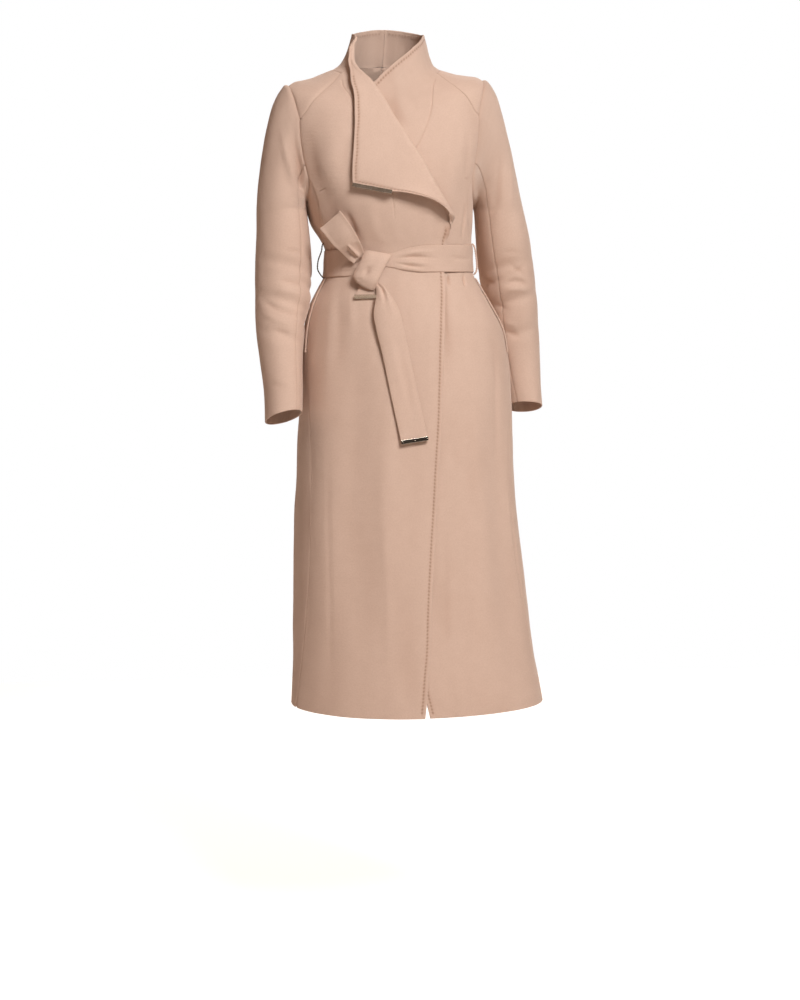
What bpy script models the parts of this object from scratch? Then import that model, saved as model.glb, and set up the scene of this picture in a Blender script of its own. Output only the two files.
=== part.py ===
"""Wool wrap coat, worn form without a wearer.

Frame: metres, +Z up, +X to the wearer's left, -Y to the front. The origin is in the middle of
the neck opening at shoulder level, where the wearer's neck and shoulders hold the coat.
Every cloth piece is a closed wall: its outer side follows one body surface, and its inner side
lies one cloth thickness inside it.
"""
import math

import bmesh
import bpy
import numpy as np
from mathutils import Vector
from mathutils.geometry import delaunay_2d_cdt

WALL = 0.0022              # double-faced wool
SEAM_GAP = 0.0003          # between two pieces at a seam
LAYER_GAP = 0.0014         # between two pieces that lie on each other
PANEL_STEP = 0.029         # spacing of a panel's points across
PANEL_RISE = 0.042         # the same up the cloth
WAIST_RISE = 0.019         # the same where the cloth curves in at the waist and the collar
WAIST_BAND = (0.735, 0.905)
COLLAR_BAND = (1.100, 1.300)
SEAM_STEP = 0.022          # spacing of a seam's points
GIRTH_RADIUS = 0.15        # turns an angle round the body into a length on the flat panel

# The body surface: one ring for each height. "up" is the length along the cloth from the hem.
BODY_RINGS = (
    # up, half_width, front, back, z_side, z_front, z_back, centre_x, centre_y, squareness, tilt
    (-0.020, 0.2330, 0.160, 0.168, -1.180, -1.180, -1.180, 0.0530, 0.000, 2.10, 0.000),
    (0.000, 0.2310, 0.159, 0.166, -1.160, -1.160, -1.160, 0.0520, 0.000, 2.10, 0.000),
    (0.100, 0.2195, 0.152, 0.160, -1.060, -1.060, -1.060, 0.0442, 0.000, 2.12, 0.000),
    (0.190, 0.2117, 0.147, 0.156, -0.970, -0.970, -0.970, 0.0390, 0.000, 2.15, 0.000),
    (0.308, 0.2042, 0.142, 0.153, -0.852, -0.852, -0.852, 0.0332, 0.000, 2.18, 0.000),
    (0.424, 0.1955, 0.137, 0.151, -0.736, -0.736, -0.736, 0.0298, 0.000, 2.20, 0.000),
    (0.547, 0.1912, 0.133, 0.150, -0.613, -0.613, -0.613, 0.0303, 0.000, 2.22, 0.000),
    (0.644, 0.1854, 0.128, 0.145, -0.516, -0.516, -0.516, 0.0280, 0.000, 2.22, 0.000),
    (0.680, 0.1795, 0.125, 0.140, -0.480, -0.480, -0.480, 0.0262, 0.000, 2.22, 0.000),
    (0.722, 0.1640, 0.118, 0.128, -0.438, -0.438, -0.438, 0.0205, 0.000, 2.22, 0.000),
    (0.755, 0.1465, 0.110, 0.112, -0.405, -0.405, -0.405, 0.0185, 0.000, 2.22, 0.000),
    (0.777, 0.1345, 0.1045, 0.098, -0.383, -0.383, -0.383, 0.0178, 0.000, 2.22, 0.000),
    (0.800, 0.1315, 0.1030, 0.094, -0.360, -0.360, -0.360, 0.0168, 0.000, 2.22, 0.000),
    (0.824, 0.1315, 0.1050, 0.094, -0.336, -0.336, -0.336, 0.0165, 0.000, 2.25, 0.000),
    (0.842, 0.1355, 0.1105, 0.096, -0.318, -0.318, -0.318, 0.0118, 0.000, 2.28, 0.000),
    (0.862, 0.1425, 0.1170, 0.100, -0.298, -0.298, -0.298, 0.0060, 0.000, 2.32, 0.000),
    (0.905, 0.1500, 0.1280, 0.108, -0.255, -0.255, -0.255, -0.0010, 0.000, 2.40, 0.005),
    (0.965, 0.1640, 0.1300, 0.114, -0.195, -0.205, -0.200, -0.0050, 0.002, 2.45, 0.015),
    (1.020, 0.1780, 0.1230, 0.116, -0.138, -0.165, -0.150, -0.0060, 0.004, 2.42, 0.022),
    (1.065, 0.1860, 0.1130, 0.113, -0.089, -0.130, -0.106, -0.0060, 0.005, 2.35, 0.032),
    (1.100, 0.1850, 0.1040, 0.106, -0.051, -0.107, -0.070, -0.0055, 0.006, 2.25, 0.038),
    (1.122, 0.1690, 0.0965, 0.095, -0.0385, -0.090, -0.046, -0.0050, 0.007, 2.15, 0.038),
    (1.150, 0.1380, 0.0900, 0.083, -0.0300, -0.073, -0.028, -0.0045, 0.008, 2.10, 0.034),
    (1.176, 0.1080, 0.0840, 0.0745, -0.0208, -0.057, -0.014, -0.0040, 0.008, 2.08, 0.019),
    (1.200, 0.0850, 0.0785, 0.0690, -0.0115, -0.041, 0.000, -0.0035, 0.008, 2.05, 0.000),
    (1.220, 0.0750, 0.0730, 0.0655, 0.0055, -0.024, 0.018, -0.0020, 0.007, 2.05, 0.000),
    (1.240, 0.0690, 0.0680, 0.0625, 0.0235, -0.006, 0.037, -0.0010, 0.006, 2.05, 0.000),
    (1.262, 0.0635, 0.0620, 0.0590, 0.0450, 0.014, 0.060, -0.0010, 0.004, 2.05, 0.000),
    (1.285, 0.0590, 0.0570, 0.0560, 0.0670, 0.034, 0.083, -0.0010, 0.002, 2.05, 0.000),
)


WOOL = ((0.60, 0.40, 0.29), 0.85, 0.0)
METAL = ((0.80, 0.70, 0.55), 0.20, 1.0)


def hermite_table(rows):
    """A function that reads a table's columns smoothly at any value of its first column."""
    data = np.array(rows, dtype=float)
    key, columns = data[:, 0], data[:, 1:]
    slopes = np.gradient(columns, key, axis=0)

    def read(value):
        i = int(np.clip(np.searchsorted(key, value) - 1, 0, len(key) - 2))
        step = key[i + 1] - key[i]
        t = (value - key[i]) / step
        a, b = columns[i], columns[i + 1]
        m, n = slopes[i] * step, slopes[i + 1] * step
        return ((2 * t**3 - 3 * t**2 + 1) * a + (t**3 - 2 * t**2 + t) * m
                + (3 * t**2 - 2 * t**3) * b + (t**3 - t**2) * n).tolist()
    return read


body_ring = hermite_table(BODY_RINGS)


# Soft folds of the cloth: ridges (+) and hollows (-) that run up and down.
FOLDS = (
    # angle, up_low, up_high, width, depth
    (-58, 0.10, 0.76, 9, 0.0030),
    (-38, 0.02, 0.74, 10, -0.0035),
    (-20, 0.30, 0.75, 9, 0.0030),
    (12, -0.05, 0.60, 9, -0.0025),
    (42, -0.05, 0.70, 8, 0.0035),
    (58, -0.05, 0.74, 8, -0.0040),
    (72, -0.05, 0.60, 8, 0.0030),
    (104, -0.05, 0.72, 9, 0.0035),
    (128, -0.05, 0.74, 10, -0.0040),
    (152, -0.05, 0.70, 10, 0.0035),
    (-152, -0.05, 0.71, 10, 0.0030),
    (-130, -0.05, 0.74, 10, -0.0040),
    (-106, -0.05, 0.72, 9, 0.0035),
    (-84, -0.05, 0.62, 8, -0.0025),
    (-50, 0.83, 0.97, 7, -0.0030),
    (52, 0.83, 0.98, 7, -0.0030),
)


def smooth_step(value, low, high):
    t = min(1.0, max(0.0, (value - low) / (high - low)))
    return t * t * (3 - 2 * t)


def fold_depth(angle, up):
    total = 0.0
    for fold_angle, up_low, up_high, width, depth in FOLDS:
        turn = math.degrees(angle) - fold_angle
        turn = (turn + 180) % 360 - 180
        reach = (up_high - up_low) * 0.35
        along = smooth_step(up, up_low, up_low + reach) * smooth_step(-up, -up_high, reach - up_high)
        total += depth * along * math.exp(-(turn / width)**2)
    return total


def smooth_point(angle, up):
    """A point of the body surface without its folds."""
    (half_width, front, back, z_side, z_front, z_back,
     centre_x, centre_y, squareness, tilt) = body_ring(up)
    s, c = math.sin(angle), math.cos(angle)
    depth, z_end = (front, z_front) if c > 0 else (back, z_back)
    radius = ((abs(s) / half_width)**squareness + (abs(c) / depth)**squareness)**(-1 / squareness)
    z = z_side + (z_end - z_side) * abs(c)**1.5 + tilt * radius * s
    return Vector((centre_x + radius * s, centre_y - radius * c, z))


def body_normal(angle, up):
    step = 1e-3
    across = smooth_point(angle + step, up) - smooth_point(angle - step, up)
    along = smooth_point(angle, up + step) - smooth_point(angle, up - step)
    return across.cross(along).normalized()


def body_point(angle, up, out=0.0):
    """A point of the body surface; angle 0 is the front, +90 degrees the wearer's left."""
    angle, up = float(angle), float(up)
    return smooth_point(angle, up) + float(out + fold_depth(angle, up)) * body_normal(angle, up)


def front_point(x, z, out=0.0):
    """The point of the front that shows at x and z from straight ahead."""
    place = front_place(x, z, out)
    return body_point(place[0], place[1], out)


def front_place(x, z, out=0.0):
    """The angle and height on the body surface of the front point at x and z."""
    angle, up = math.asin(max(-0.95, min(0.95, x / 0.2))), z + 1.17
    for _ in range(25):
        here = body_point(angle, up, out)
        miss = np.array((x - here.x, z - here.z))
        if np.abs(miss).max() < 1e-6:
            break
        step = 1e-4
        turn = (body_point(angle + step, up, out) - here) / step
        rise = (body_point(angle, up + step, out) - here) / step
        change = np.linalg.solve(np.array(((turn.x, rise.x), (turn.z, rise.z))), miss)
        change *= min(1.0, 0.3 / max(abs(change[0]), abs(change[1] * 6), 1e-9))
        angle, up = angle + change[0], up + change[1]
    return angle, up


# Seams and edges on the body surface, in degrees round it and metres up the cloth. Seams that
# both sides have are given for the wearer's left and mirrored for the right.
OVERLAP_EDGE = ((-2.5, 0.000), (-0.4, 0.033), (2.4, 0.079), (4.6, 0.112), (7.5, 0.191),
                (12.0, 0.293), (16.3, 0.392), (19.2, 0.494), (21.6, 0.593), (25.4, 0.680),
                (31.5, 0.732), (37.0, 0.776), (40.2, 0.820), (41.2, 0.852), (40.8, 0.872))
UNDERLAP_TOP = ((-42.5, 0.872), (-40.0, 0.950), (-35.5, 1.050), (-29.0, 1.140), (-22.3, 1.187))
COLLAR_RIM = ((-22.3, 1.187), (-12.6, 1.211), (5.6, 1.236), (32.9, 1.254), (69.0, 1.262))
SIDE_SEAM = ((80.0, 0.006), (76.0, 0.080), (72.5, 0.160), (69.5, 0.250), (68.5, 0.330),
             (70.0, 0.450), (74.0, 0.550), (78.0, 0.641), (78.5, 0.680), (77.5, 0.720),
             (77.0, 0.773), (71.5, 0.820), (66.0, 0.864), (61.8, 0.898), (60.8, 0.922),
             (64.0, 0.953))
ARMHOLE_FRONT = ((64.0, 0.953), (65.2, 0.985), (65.9, 1.030), (66.3, 1.0565))
ARMHOLE_TOP = ((66.3, 1.0565), (68.0, 1.069), (73.0, 1.0955), (81.0, 1.112), (90.0, 1.117),
               (100.0, 1.111), (108.0, 1.095), (113.5, 1.075), (116.3, 1.056))
ARMHOLE_BACK = ((116.3, 1.056), (117.5, 1.020), (117.0, 0.980), (113.5, 0.945), (106.0, 0.920),
                (98.0, 0.908), (90.0, 0.904), (81.0, 0.906), (72.0, 0.916), (66.5, 0.934),
                (64.0, 0.953))
YOKE_FRONT = ((64.0, 1.186), (60.0, 1.160), (58.2, 1.130), (58.8, 1.103), (60.6, 1.085),
              (63.5, 1.068), (66.3, 1.0565))
YOKE_BACK = ((118.0, 1.189), (122.0, 1.160), (123.5, 1.128), (122.6, 1.100), (120.0, 1.078),
             (116.3, 1.056))
NECK_OVER_YOKE = ((64.0, 1.186), (90.0, 1.1875), (118.0, 1.189))
NECK_BACK = ((118.0, 1.189), (150.0, 1.191), (180.0, 1.192))
COLLAR_TOP_LEFT = ((69.0, 1.262), (110.0, 1.262), (180.0, 1.262))
COLLAR_TOP_RIGHT = ((-69.0, 1.262), (-110.0, 1.262), (-180.0, 1.262))
HEM = ((-180.0, 0.008), (-130.0, 0.006), (-89.0, 0.005), (-50.0, 0.000), (0.0, 0.000),
       (45.0, 0.008), (84.0, 0.016), (130.0, 0.012), (180.0, 0.008))
MIRRORED_UNDERLAP = -1.7   # degrees between the overlap edge and the mirrored underlap edge

# The lapel: the turned edge of the right front, from its apex on the collar to the break point.
ROLL_LINE = ((-69.0, 1.262), (-62.6, 1.238), (-55.9, 1.222), (-45.5, 1.2105), (-35.7, 1.2015),
             (-21.8, 1.182), (-12.3, 1.153), (-3.9, 1.119), (1.5, 1.095), (16.7, 1.017),
             (21.8, 0.985), (29.8, 0.936), (40.6, 0.894), (40.8, 0.872))
FLAP_EDGE = ((-69.0, 1.262), (-66.8, 1.240), (-60.6, 1.218), (-48.0, 1.183), (-38.2, 1.132),
             (-33.7, 1.097), (-30.6, 1.050), (-29.8, 1.007), (-30.2, 0.936))
FLAP_BOTTOM = ((-3.7, 0.9205), (6.4, 0.9185), (18.4, 0.9115), (27.4, 0.9030), (33.6, 0.892),
               (38.3, 0.880), (40.8, 0.872))
ROLL_RADIUS = 0.0032       # inside the turned edge
BREAK_RADIUS = 0.0075      # the same, where the lapel starts to turn
CORNER_SHARE = 0.62        # share of the roll line above the lapel's corner


def smooth_curve(points, step, closed=False):
    """Points at an even step along a smooth curve through the given ones, ends kept."""
    data = np.array(points, dtype=float)
    chords = np.linalg.norm(np.diff(data, axis=0), axis=1)
    key = np.concatenate(((0.0,), np.cumsum(np.sqrt(chords))))
    read = hermite_table(np.column_stack((key, data)))
    fine = np.array([read(value) for value in np.linspace(0.0, key[-1], 40 * len(points))])
    run = np.concatenate(((0.0,), np.cumsum(np.linalg.norm(np.diff(fine, axis=0), axis=1))))
    count = max(2, round(run[-1] / step) + 1)
    stops = np.linspace(0.0, run[-1], count)
    return np.column_stack([np.interp(stops, run, fine[:, k]) for k in range(data.shape[1])])


def flat(points):
    """Angle in degrees and height, as a place on the flat panel in metres."""
    return [(math.radians(angle) * GIRTH_RADIUS, up) for angle, up in points]


def mirrored(points):
    return [(-angle, up) for angle, up in points]


def edge_between(points, step=SEAM_STEP):
    return smooth_curve(flat(points), step)


def stretch(angle, up):
    """Real metres on the cloth for each metre of the flat panel, across and along."""
    step = 1e-3
    across = (smooth_point(angle + step, up) - smooth_point(angle - step, up)).length
    along = (smooth_point(angle, up + step) - smooth_point(angle, up - step)).length
    return across / (2 * step * GIRTH_RADIUS), along / (2 * step)


def moved_sideways(place, direction, distance):
    """A flat place moved to the left of a direction by a real distance."""
    across, along = stretch(place[0] / GIRTH_RADIUS, place[1])
    real = np.array((direction[0] * across, direction[1] * along))
    real /= max(np.linalg.norm(real), 1e-9)
    return np.array((place[0] - real[1] * distance / across, place[1] + real[0] * distance / along))


def inset(outline, distance):
    """A closed counter-clockwise outline moved inward by a real distance."""
    count = len(outline)
    places = []
    for i in range(count):
        before = outline[i] - outline[i - 1]
        after = outline[(i + 1) % count] - outline[i]
        before, after = before / np.linalg.norm(before), after / np.linalg.norm(after)
        miter = 1.0 / max(0.5, math.sqrt(max(0.0, (1 + before.dot(after)) / 2)))
        places.append(moved_sideways(outline[i], before + after, distance * miter))
    return places


def inside(place, outline):
    odd = False
    for i in range(len(outline)):
        (x0, y0), (x1, y1) = outline[i - 1], outline[i]
        if (y0 > place[1]) != (y1 > place[1]):
            if place[0] < x0 + (place[1] - y0) / (y1 - y0) * (x1 - x0):
                odd = not odd
    return odd


def distance_to(place, outline):
    starts = np.roll(outline, 1, axis=0)
    runs = outline - starts
    share = np.clip(((place - starts) * runs).sum(1) / (runs**2).sum(1), 0, 1)
    return np.linalg.norm(starts + runs * share[:, None] - place, axis=1).min()


def row_heights():
    heights = [0.0]
    while heights[-1] < COLLAR_BAND[1]:
        close = any(low < heights[-1] < high for low, high in (WAIST_BAND, COLLAR_BAND))
        heights.append(heights[-1] + (WAIST_RISE if close else PANEL_RISE))
    return heights


def filled_outline(outline, step=PANEL_STEP):
    """Places and counter-clockwise triangles that fill an outline; its own places come first."""
    outline = np.array(outline)
    low, high = outline.min(0), outline.max(0)
    places = [tuple(place) for place in outline]
    for row, height in enumerate(row_heights()):
        if not low[1] < height < high[1]:
            continue
        for column in range(math.floor(low[0] / step), math.ceil(high[0] / step) + 1):
            place = np.array(((column + 0.5 * (row % 2)) * step, height))
            if inside(place, outline) and distance_to(place, outline) > 0.45 * step:
                places.append(tuple(place))
    ring = list(range(len(outline)))
    found = delaunay_2d_cdt([Vector(place) for place in places], [], [ring], 1, 1e-7)
    triangles = []
    for face in found[2]:
        a, b, c = (found[0][i] for i in face)
        turn = (b - a).cross(c - a)
        triangles.append(tuple(face) if turn > 0 else tuple(reversed(face)))
    return [tuple(place) for place in found[0]], triangles


def wall_object(name, points, normals, faces):
    """A closed wall from its outer side's points; the inner side lies one wall along -normal."""
    mesh = bmesh.new()
    outer = [mesh.verts.new(point) for point in points]
    inner = [mesh.verts.new(point - WALL * normal) for point, normal in zip(points, normals)]
    edges = {}
    for face in faces:
        mesh.faces.new([outer[i] for i in face])
        mesh.faces.new([inner[i] for i in reversed(face)])
        for i, j in zip(face, face[1:] + face[:1]):
            edges[i, j] = True
    for i, j in edges:
        if (j, i) not in edges:
            mesh.faces.new((outer[j], outer[i], inner[i], inner[j]))
    return finished_object(name, mesh, WOOL)


def finished_object(name, mesh, finish):
    data = bpy.data.meshes.new(name)
    mesh.to_mesh(data)
    mesh.free()
    data.shade_smooth()
    data.set_sharp_from_angle(angle=math.radians(40))
    data.materials.append(material(name, *finish))
    thing = bpy.data.objects.new(name, data)
    bpy.context.collection.objects.link(thing)
    return thing


def material(name, colour, roughness, metallic):
    finish = bpy.data.materials.new(name)
    finish.use_nodes = True
    shader = finish.node_tree.nodes["Principled BSDF"]
    shader.inputs["Base Color"].default_value = (*colour, 1.0)
    shader.inputs["Roughness"].default_value = roughness
    shader.inputs["Metallic"].default_value = metallic
    return finish


def joined_runs(*runs):
    """One closed outline from runs that meet end to end."""
    places = []
    for run in runs:
        places.extend(np.array(place) for place in run[:-1])
    return places


def reverse(run):
    return run[::-1]


def side(run, sign):
    """A run for the wearer's left (+1) or mirrored for the right (-1)."""
    return run if sign > 0 else mirrored(run)


def hem_run(start, end):
    """The hem between two angles."""
    read = hermite_table(HEM)
    angles = np.linspace(start, end, 6)
    return [(angle, read(angle)[0]) for angle in angles]


def under_angle(up):
    """Where the left front's hidden edge lies, in degrees."""
    edge = UNDERLAP_EDGE + UNDERLAP_TOP[1:]
    return float(np.interp(up, [row[1] for row in edge], [row[0] for row in edge]))


UNDERLAP_EDGE = tuple((MIRRORED_UNDERLAP - angle, up) for angle, up in OVERLAP_EDGE)
OVERLAP_LIFT = WALL + 1.3 * LAYER_GAP
OVERLAP_FADE = (16.0, 5.0)  # degrees past the hidden edge where the lift starts and is full


def overlap_lift(angle, up):
    """How far the right front stands out, to pass over the left front."""
    past = math.degrees(angle) - under_angle(up)
    return OVERLAP_LIFT * smooth_step(past, -OVERLAP_FADE[0], -OVERLAP_FADE[1])


def panel(name, outline):
    places, faces = filled_outline(inset(outline, SEAM_GAP / 2))
    points = [body_point(u / GIRTH_RADIUS, up) for u, up in places]
    normals = [body_normal(u / GIRTH_RADIUS, up) for u, up in places]
    return wall_object(name, points, normals, faces)


def front_left():
    start, end = UNDERLAP_EDGE[0][0], SIDE_SEAM[0][0]
    outline = joined_runs(
        edge_between(hem_run(start, end)), edge_between(SIDE_SEAM), edge_between(ARMHOLE_FRONT),
        reverse(edge_between(YOKE_FRONT)), edge_between(NECK_OVER_YOKE), edge_between(NECK_BACK),
        edge_between((NECK_BACK[-1], COLLAR_TOP_LEFT[-1])), reverse(edge_between(COLLAR_TOP_LEFT)),
        reverse(edge_between(COLLAR_RIM)), reverse(edge_between(UNDERLAP_TOP)),
        reverse(edge_between(UNDERLAP_EDGE)))
    return panel("front_left", outline)


def back(name, sign):
    centre = (NECK_BACK[-1], HEM[-1])
    runs = [hem_run(SIDE_SEAM[0][0] * sign, 180.0 * sign), side(reverse(centre), sign),
            side(reverse(NECK_BACK), sign), side(YOKE_BACK, sign), side(ARMHOLE_BACK, sign),
            side(reverse(SIDE_SEAM), sign)]
    runs = [edge_between(run) for run in runs]
    if sign < 0:
        runs = [reverse(run) for run in reversed(runs)]
    return panel(name, joined_runs(*runs))


def yoke(name, sign):
    runs = [YOKE_FRONT, ARMHOLE_TOP, reverse(YOKE_BACK), reverse(NECK_OVER_YOKE)]
    runs = [edge_between(side(run, sign)) for run in runs]
    if sign < 0:
        runs = [reverse(run) for run in reversed(runs)]
    return panel(name, joined_runs(*runs))


LAPEL_ROWS = (10, 4, 7)    # apex to corner, along the bar, bar to break point
FLAP_COLUMNS = 6
BEND_COLUMNS = 5
BAR_SHARE = 0.80           # share of the roll line above the bar's inner end
FLAP_RISE = 0.004          # how far the flap's outer edge lifts off the chest
BREAK_RISE = 0.0055        # the same, near the break point
BREAK_SHARE = 0.90         # share of the roll line where that is most


def row_shares():
    stops = (0.0, CORNER_SHARE, BAR_SHARE, 1.0)
    shares = [0.0]
    for start, end, rows in zip(stops, stops[1:], LAPEL_ROWS):
        shares.extend(start + (end - start) * (k + 1) / rows for k in range(rows))
    return shares


def at_share(curve, share):
    run = np.concatenate(((0.0,), np.cumsum(np.linalg.norm(np.diff(curve, axis=0), axis=1))))
    return np.array([np.interp(share * run[-1], run, curve[:, k]) for k in range(2)])


def flap_edge_place(share):
    """The place on the body that the flap's outer edge lies over."""
    if share <= CORNER_SHARE:
        return at_share(edge_between(FLAP_EDGE, 0.004), share / CORNER_SHARE)
    corner, bar_end = flat((FLAP_EDGE[-1], FLAP_BOTTOM[0]))
    if share <= BAR_SHARE:
        part = (share - CORNER_SHARE) / (BAR_SHARE - CORNER_SHARE)
        return np.array(corner) * (1 - part) + np.array(bar_end) * part
    part = (share - BAR_SHARE) / (1 - BAR_SHARE)
    return at_share(edge_between(FLAP_BOTTOM, 0.004), part)


def roll_frame(share):
    """Start of the turn on the chest, the direction across the roll, and the turn's radius."""
    curve = edge_between(ROLL_LINE, 0.004)
    place = at_share(curve, share)
    ahead = at_share(curve, min(1.0, share + 0.01)) - at_share(curve, max(0.0, share - 0.01))
    open_ends = smooth_step(share, 0.0, 0.05) * smooth_step(-share, -1.0, -0.92)
    radius = ROLL_RADIUS + (BREAK_RADIUS - ROLL_RADIUS) * smooth_step(share, 0.70, 0.95)
    start = moved_sideways(place, ahead, -(radius + WALL) * open_ends)
    return start, ahead, radius, open_ends


def lapel_rows():
    """Rows of flat places and heights across the turned lapel, from its apex to the break."""
    rows = []
    for share in row_shares():
        start, ahead, radius, open_ends = roll_frame(share)
        edge = flap_edge_place(share)
        turn = math.pi * radius * open_ends
        row = []
        for k in range(BEND_COLUMNS + 1):
            bend = turn * k / BEND_COLUMNS / radius
            place = moved_sideways(start, ahead, radius * math.sin(bend))
            row.append((place, radius * (1 - math.cos(bend))))
        bend = turn / radius
        for k in range(1, FLAP_COLUMNS + 1):
            part = k / FLAP_COLUMNS * open_ends
            place = start * (1 - part) + edge * part
            rise = FLAP_RISE + BREAK_RISE * math.exp(-((share - BREAK_SHARE) / 0.10)**2)
            height = radius * (1 - math.cos(bend)) + rise * smooth_step(part, 0.0, 1.0)
            row.append((place, height))
        rows.append(row)
    return rows


def lapel_points(rows):
    """The rows as points in space, with the stretch that the bar grips made straight."""
    grid = []
    for row in rows:
        line = []
        for place, height in row:
            angle, up = place[0] / GIRTH_RADIUS, place[1]
            out = overlap_lift(angle, up) + height
            line.append(body_point(angle, up, out))
        grid.append(line)
    corner_row = LAPEL_ROWS[0]
    bar_row = corner_row + LAPEL_ROWS[1]
    first, last = grid[corner_row][-1].copy(), grid[bar_row][-1].copy()
    for i, line in enumerate(grid):
        if corner_row <= i <= bar_row:
            part = (i - corner_row) / (bar_row - corner_row)
            pull = first.lerp(last, part) - line[-1]
            for k in range(1, FLAP_COLUMNS + 1):
                line[BEND_COLUMNS + k] += pull * smooth_step(k / FLAP_COLUMNS, 0.2, 1.0)
    return grid


def point_normals(points, faces):
    normals = [Vector((0, 0, 0)) for _ in points]
    for face in faces:
        a, b, c = (points[i] for i in face[:3])
        area = (b - a).cross(c - a)
        if len(face) == 4:
            area = (c - a).cross(points[face[3]] - b)
        for i in face:
            normals[i] += area
    return [normal.normalized() for normal in normals]


def front_right():
    rows = lapel_rows()
    roll_start = [row[0][0] for row in rows]
    apex = roll_start[0]
    apex_degrees = math.degrees(apex[0] / GIRTH_RADIUS)
    collar_top = ((apex_degrees, apex[1]),) + COLLAR_TOP_RIGHT[1:]
    runs = [
        edge_between(hem_run(-SIDE_SEAM[0][0], OVERLAP_EDGE[0][0])), edge_between(OVERLAP_EDGE),
        np.array(reverse(roll_start)), edge_between(collar_top),
        edge_between(mirrored((COLLAR_TOP_LEFT[-1], NECK_BACK[-1]))),
        edge_between(mirrored(reverse(NECK_BACK))), edge_between(mirrored(reverse(NECK_OVER_YOKE))),
        edge_between(mirrored(YOKE_FRONT)), edge_between(mirrored(reverse(ARMHOLE_FRONT))),
        edge_between(mirrored(reverse(SIDE_SEAM)))]
    first = len(runs[0]) + len(runs[1]) - 2
    outline = inset(joined_runs(*runs), SEAM_GAP / 2)
    outline[first:first + len(rows)] = reverse(roll_start)
    places, faces = filled_outline(outline)
    points, normals = [], []
    for u, up in places:
        angle = u / GIRTH_RADIUS
        points.append(body_point(angle, up, overlap_lift(angle, up)))
        normals.append(body_normal(angle, up))
    chest_count = len(points)
    grid = lapel_points(rows)
    columns = len(grid[0])
    index = []
    for i, line in enumerate(grid):
        ids = [first + len(rows) - 1 - i]
        for k in range(1, columns):
            if (line[k] - points[ids[-1]]).length < 1e-6:
                ids.append(ids[-1])
            else:
                points.append(line[k])
                ids.append(len(points) - 1)
        index.append(ids)
    flap_faces = []
    for i in range(len(grid) - 1):
        for k in range(columns - 1):
            square = (index[i][k], index[i + 1][k], index[i + 1][k + 1], index[i][k + 1])
            square = tuple(dict.fromkeys(square))
            if len(square) >= 3:
                flap_faces.append(square)
    found = point_normals(points, faces + flap_faces)
    normals += found[chest_count:]
    for ids in index:
        normals[ids[0]] = found[ids[0]]
    return wall_object("front_right", points, normals, faces + flap_faces), grid


SLEEVE_RIGHT = (
    # z, x, y, half_width, half_depth, tilt, roll
    (-0.268, -0.1930, -0.012, 0.0440, 0.061, 0.00, 0.00),
    (-0.320, -0.1905, -0.014, 0.0478, 0.062, 0.00, 0.00),
    (-0.374, -0.1915, -0.018, 0.0500, 0.061, 0.02, 0.00),
    (-0.427, -0.1941, -0.026, 0.0489, 0.059, 0.05, 0.00),
    (-0.480, -0.1980, -0.040, 0.0435, 0.055, 0.10, 0.00),
    (-0.533, -0.1975, -0.053, 0.0385, 0.051, 0.16, 0.03),
    (-0.585, -0.1950, -0.066, 0.0340, 0.047, 0.24, 0.12),
    (-0.6327, -0.1958, -0.078, 0.0322, 0.045, 0.28, 0.22),
)
SLEEVE_LEFT = (
    # z, x, y, half_width, half_depth, tilt, roll
    (-0.268, 0.2020, 0.020, 0.0440, 0.061, 0.00, 0.00),
    (-0.317, 0.2114, 0.032, 0.0485, 0.062, 0.00, 0.00),
    (-0.371, 0.2213, 0.048, 0.0500, 0.061, 0.00, 0.00),
    (-0.426, 0.2318, 0.062, 0.0489, 0.059, 0.02, 0.00),
    (-0.481, 0.2397, 0.075, 0.0465, 0.055, 0.05, 0.00),
    (-0.536, 0.2472, 0.080, 0.0422, 0.051, 0.10, 0.00),
    (-0.590, 0.2550, 0.077, 0.0364, 0.047, 0.18, 0.00),
    (-0.6225, 0.2598, 0.073, 0.0335, 0.045, 0.25, -0.03),
)
SLEEVE_SQUARENESS = 2.15
SLEEVE_GIRTH = 0.30
CAP_ROWS = 7
ARM_ROWS = 15
CAP_OUT = 0.42             # how far the sleeve head runs on before it drops, as a share
SEAM_TURNS = (0.34, 0.69)  # where the under sleeve begins and ends, from the outer line forwards
SLEEVE_CREASES = (
    # place down the arm, place round it, length, width, depth
    (0.28, 0.30, 0.16, 0.030, 0.0045),
    (0.37, 0.42, 0.17, 0.028, 0.0050),
    (0.46, 0.30, 0.18, 0.028, 0.0055),
    (0.54, 0.44, 0.15, 0.026, 0.0045),
    (0.63, 0.28, 0.14, 0.028, 0.0035),
)


def armhole_loop(sign):
    """The armhole's seam points as flat places, from the shoulder forwards and round."""
    top, front, back_run = (edge_between(side(run, sign))
                            for run in (ARMHOLE_TOP, ARMHOLE_FRONT, ARMHOLE_BACK))
    middle = len(top) // 2
    return np.concatenate((reverse(top[:middle + 1]), reverse(front)[1:], reverse(back_run)[1:],
                           reverse(top[middle:])[1:]))


def armhole_turns(sign):
    """Where the seam points lie round the sleeve, from one turn back to one turn on."""
    loop = armhole_loop(sign)
    run = np.concatenate(((0.0,), np.cumsum(np.linalg.norm(np.diff(loop, axis=0), axis=1))))
    once = (run / run[-1]).tolist()
    return [turn - 1 for turn in once[:-1]] + once


def nearest_turn(sign, turn):
    return min(armhole_turns(sign), key=lambda other: abs(other - turn))


def armhole_point(loop, sign, share):
    """A point of the sleeve's edge, one seam gap inside the armhole."""
    place = at_share(loop, share)
    ahead = at_share(loop, (share + 0.01) % 1.0) - at_share(loop, (share - 0.01) % 1.0)
    place = moved_sideways(place, ahead, sign * SEAM_GAP / 2)
    return body_point(place[0] / GIRTH_RADIUS, place[1])


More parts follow.
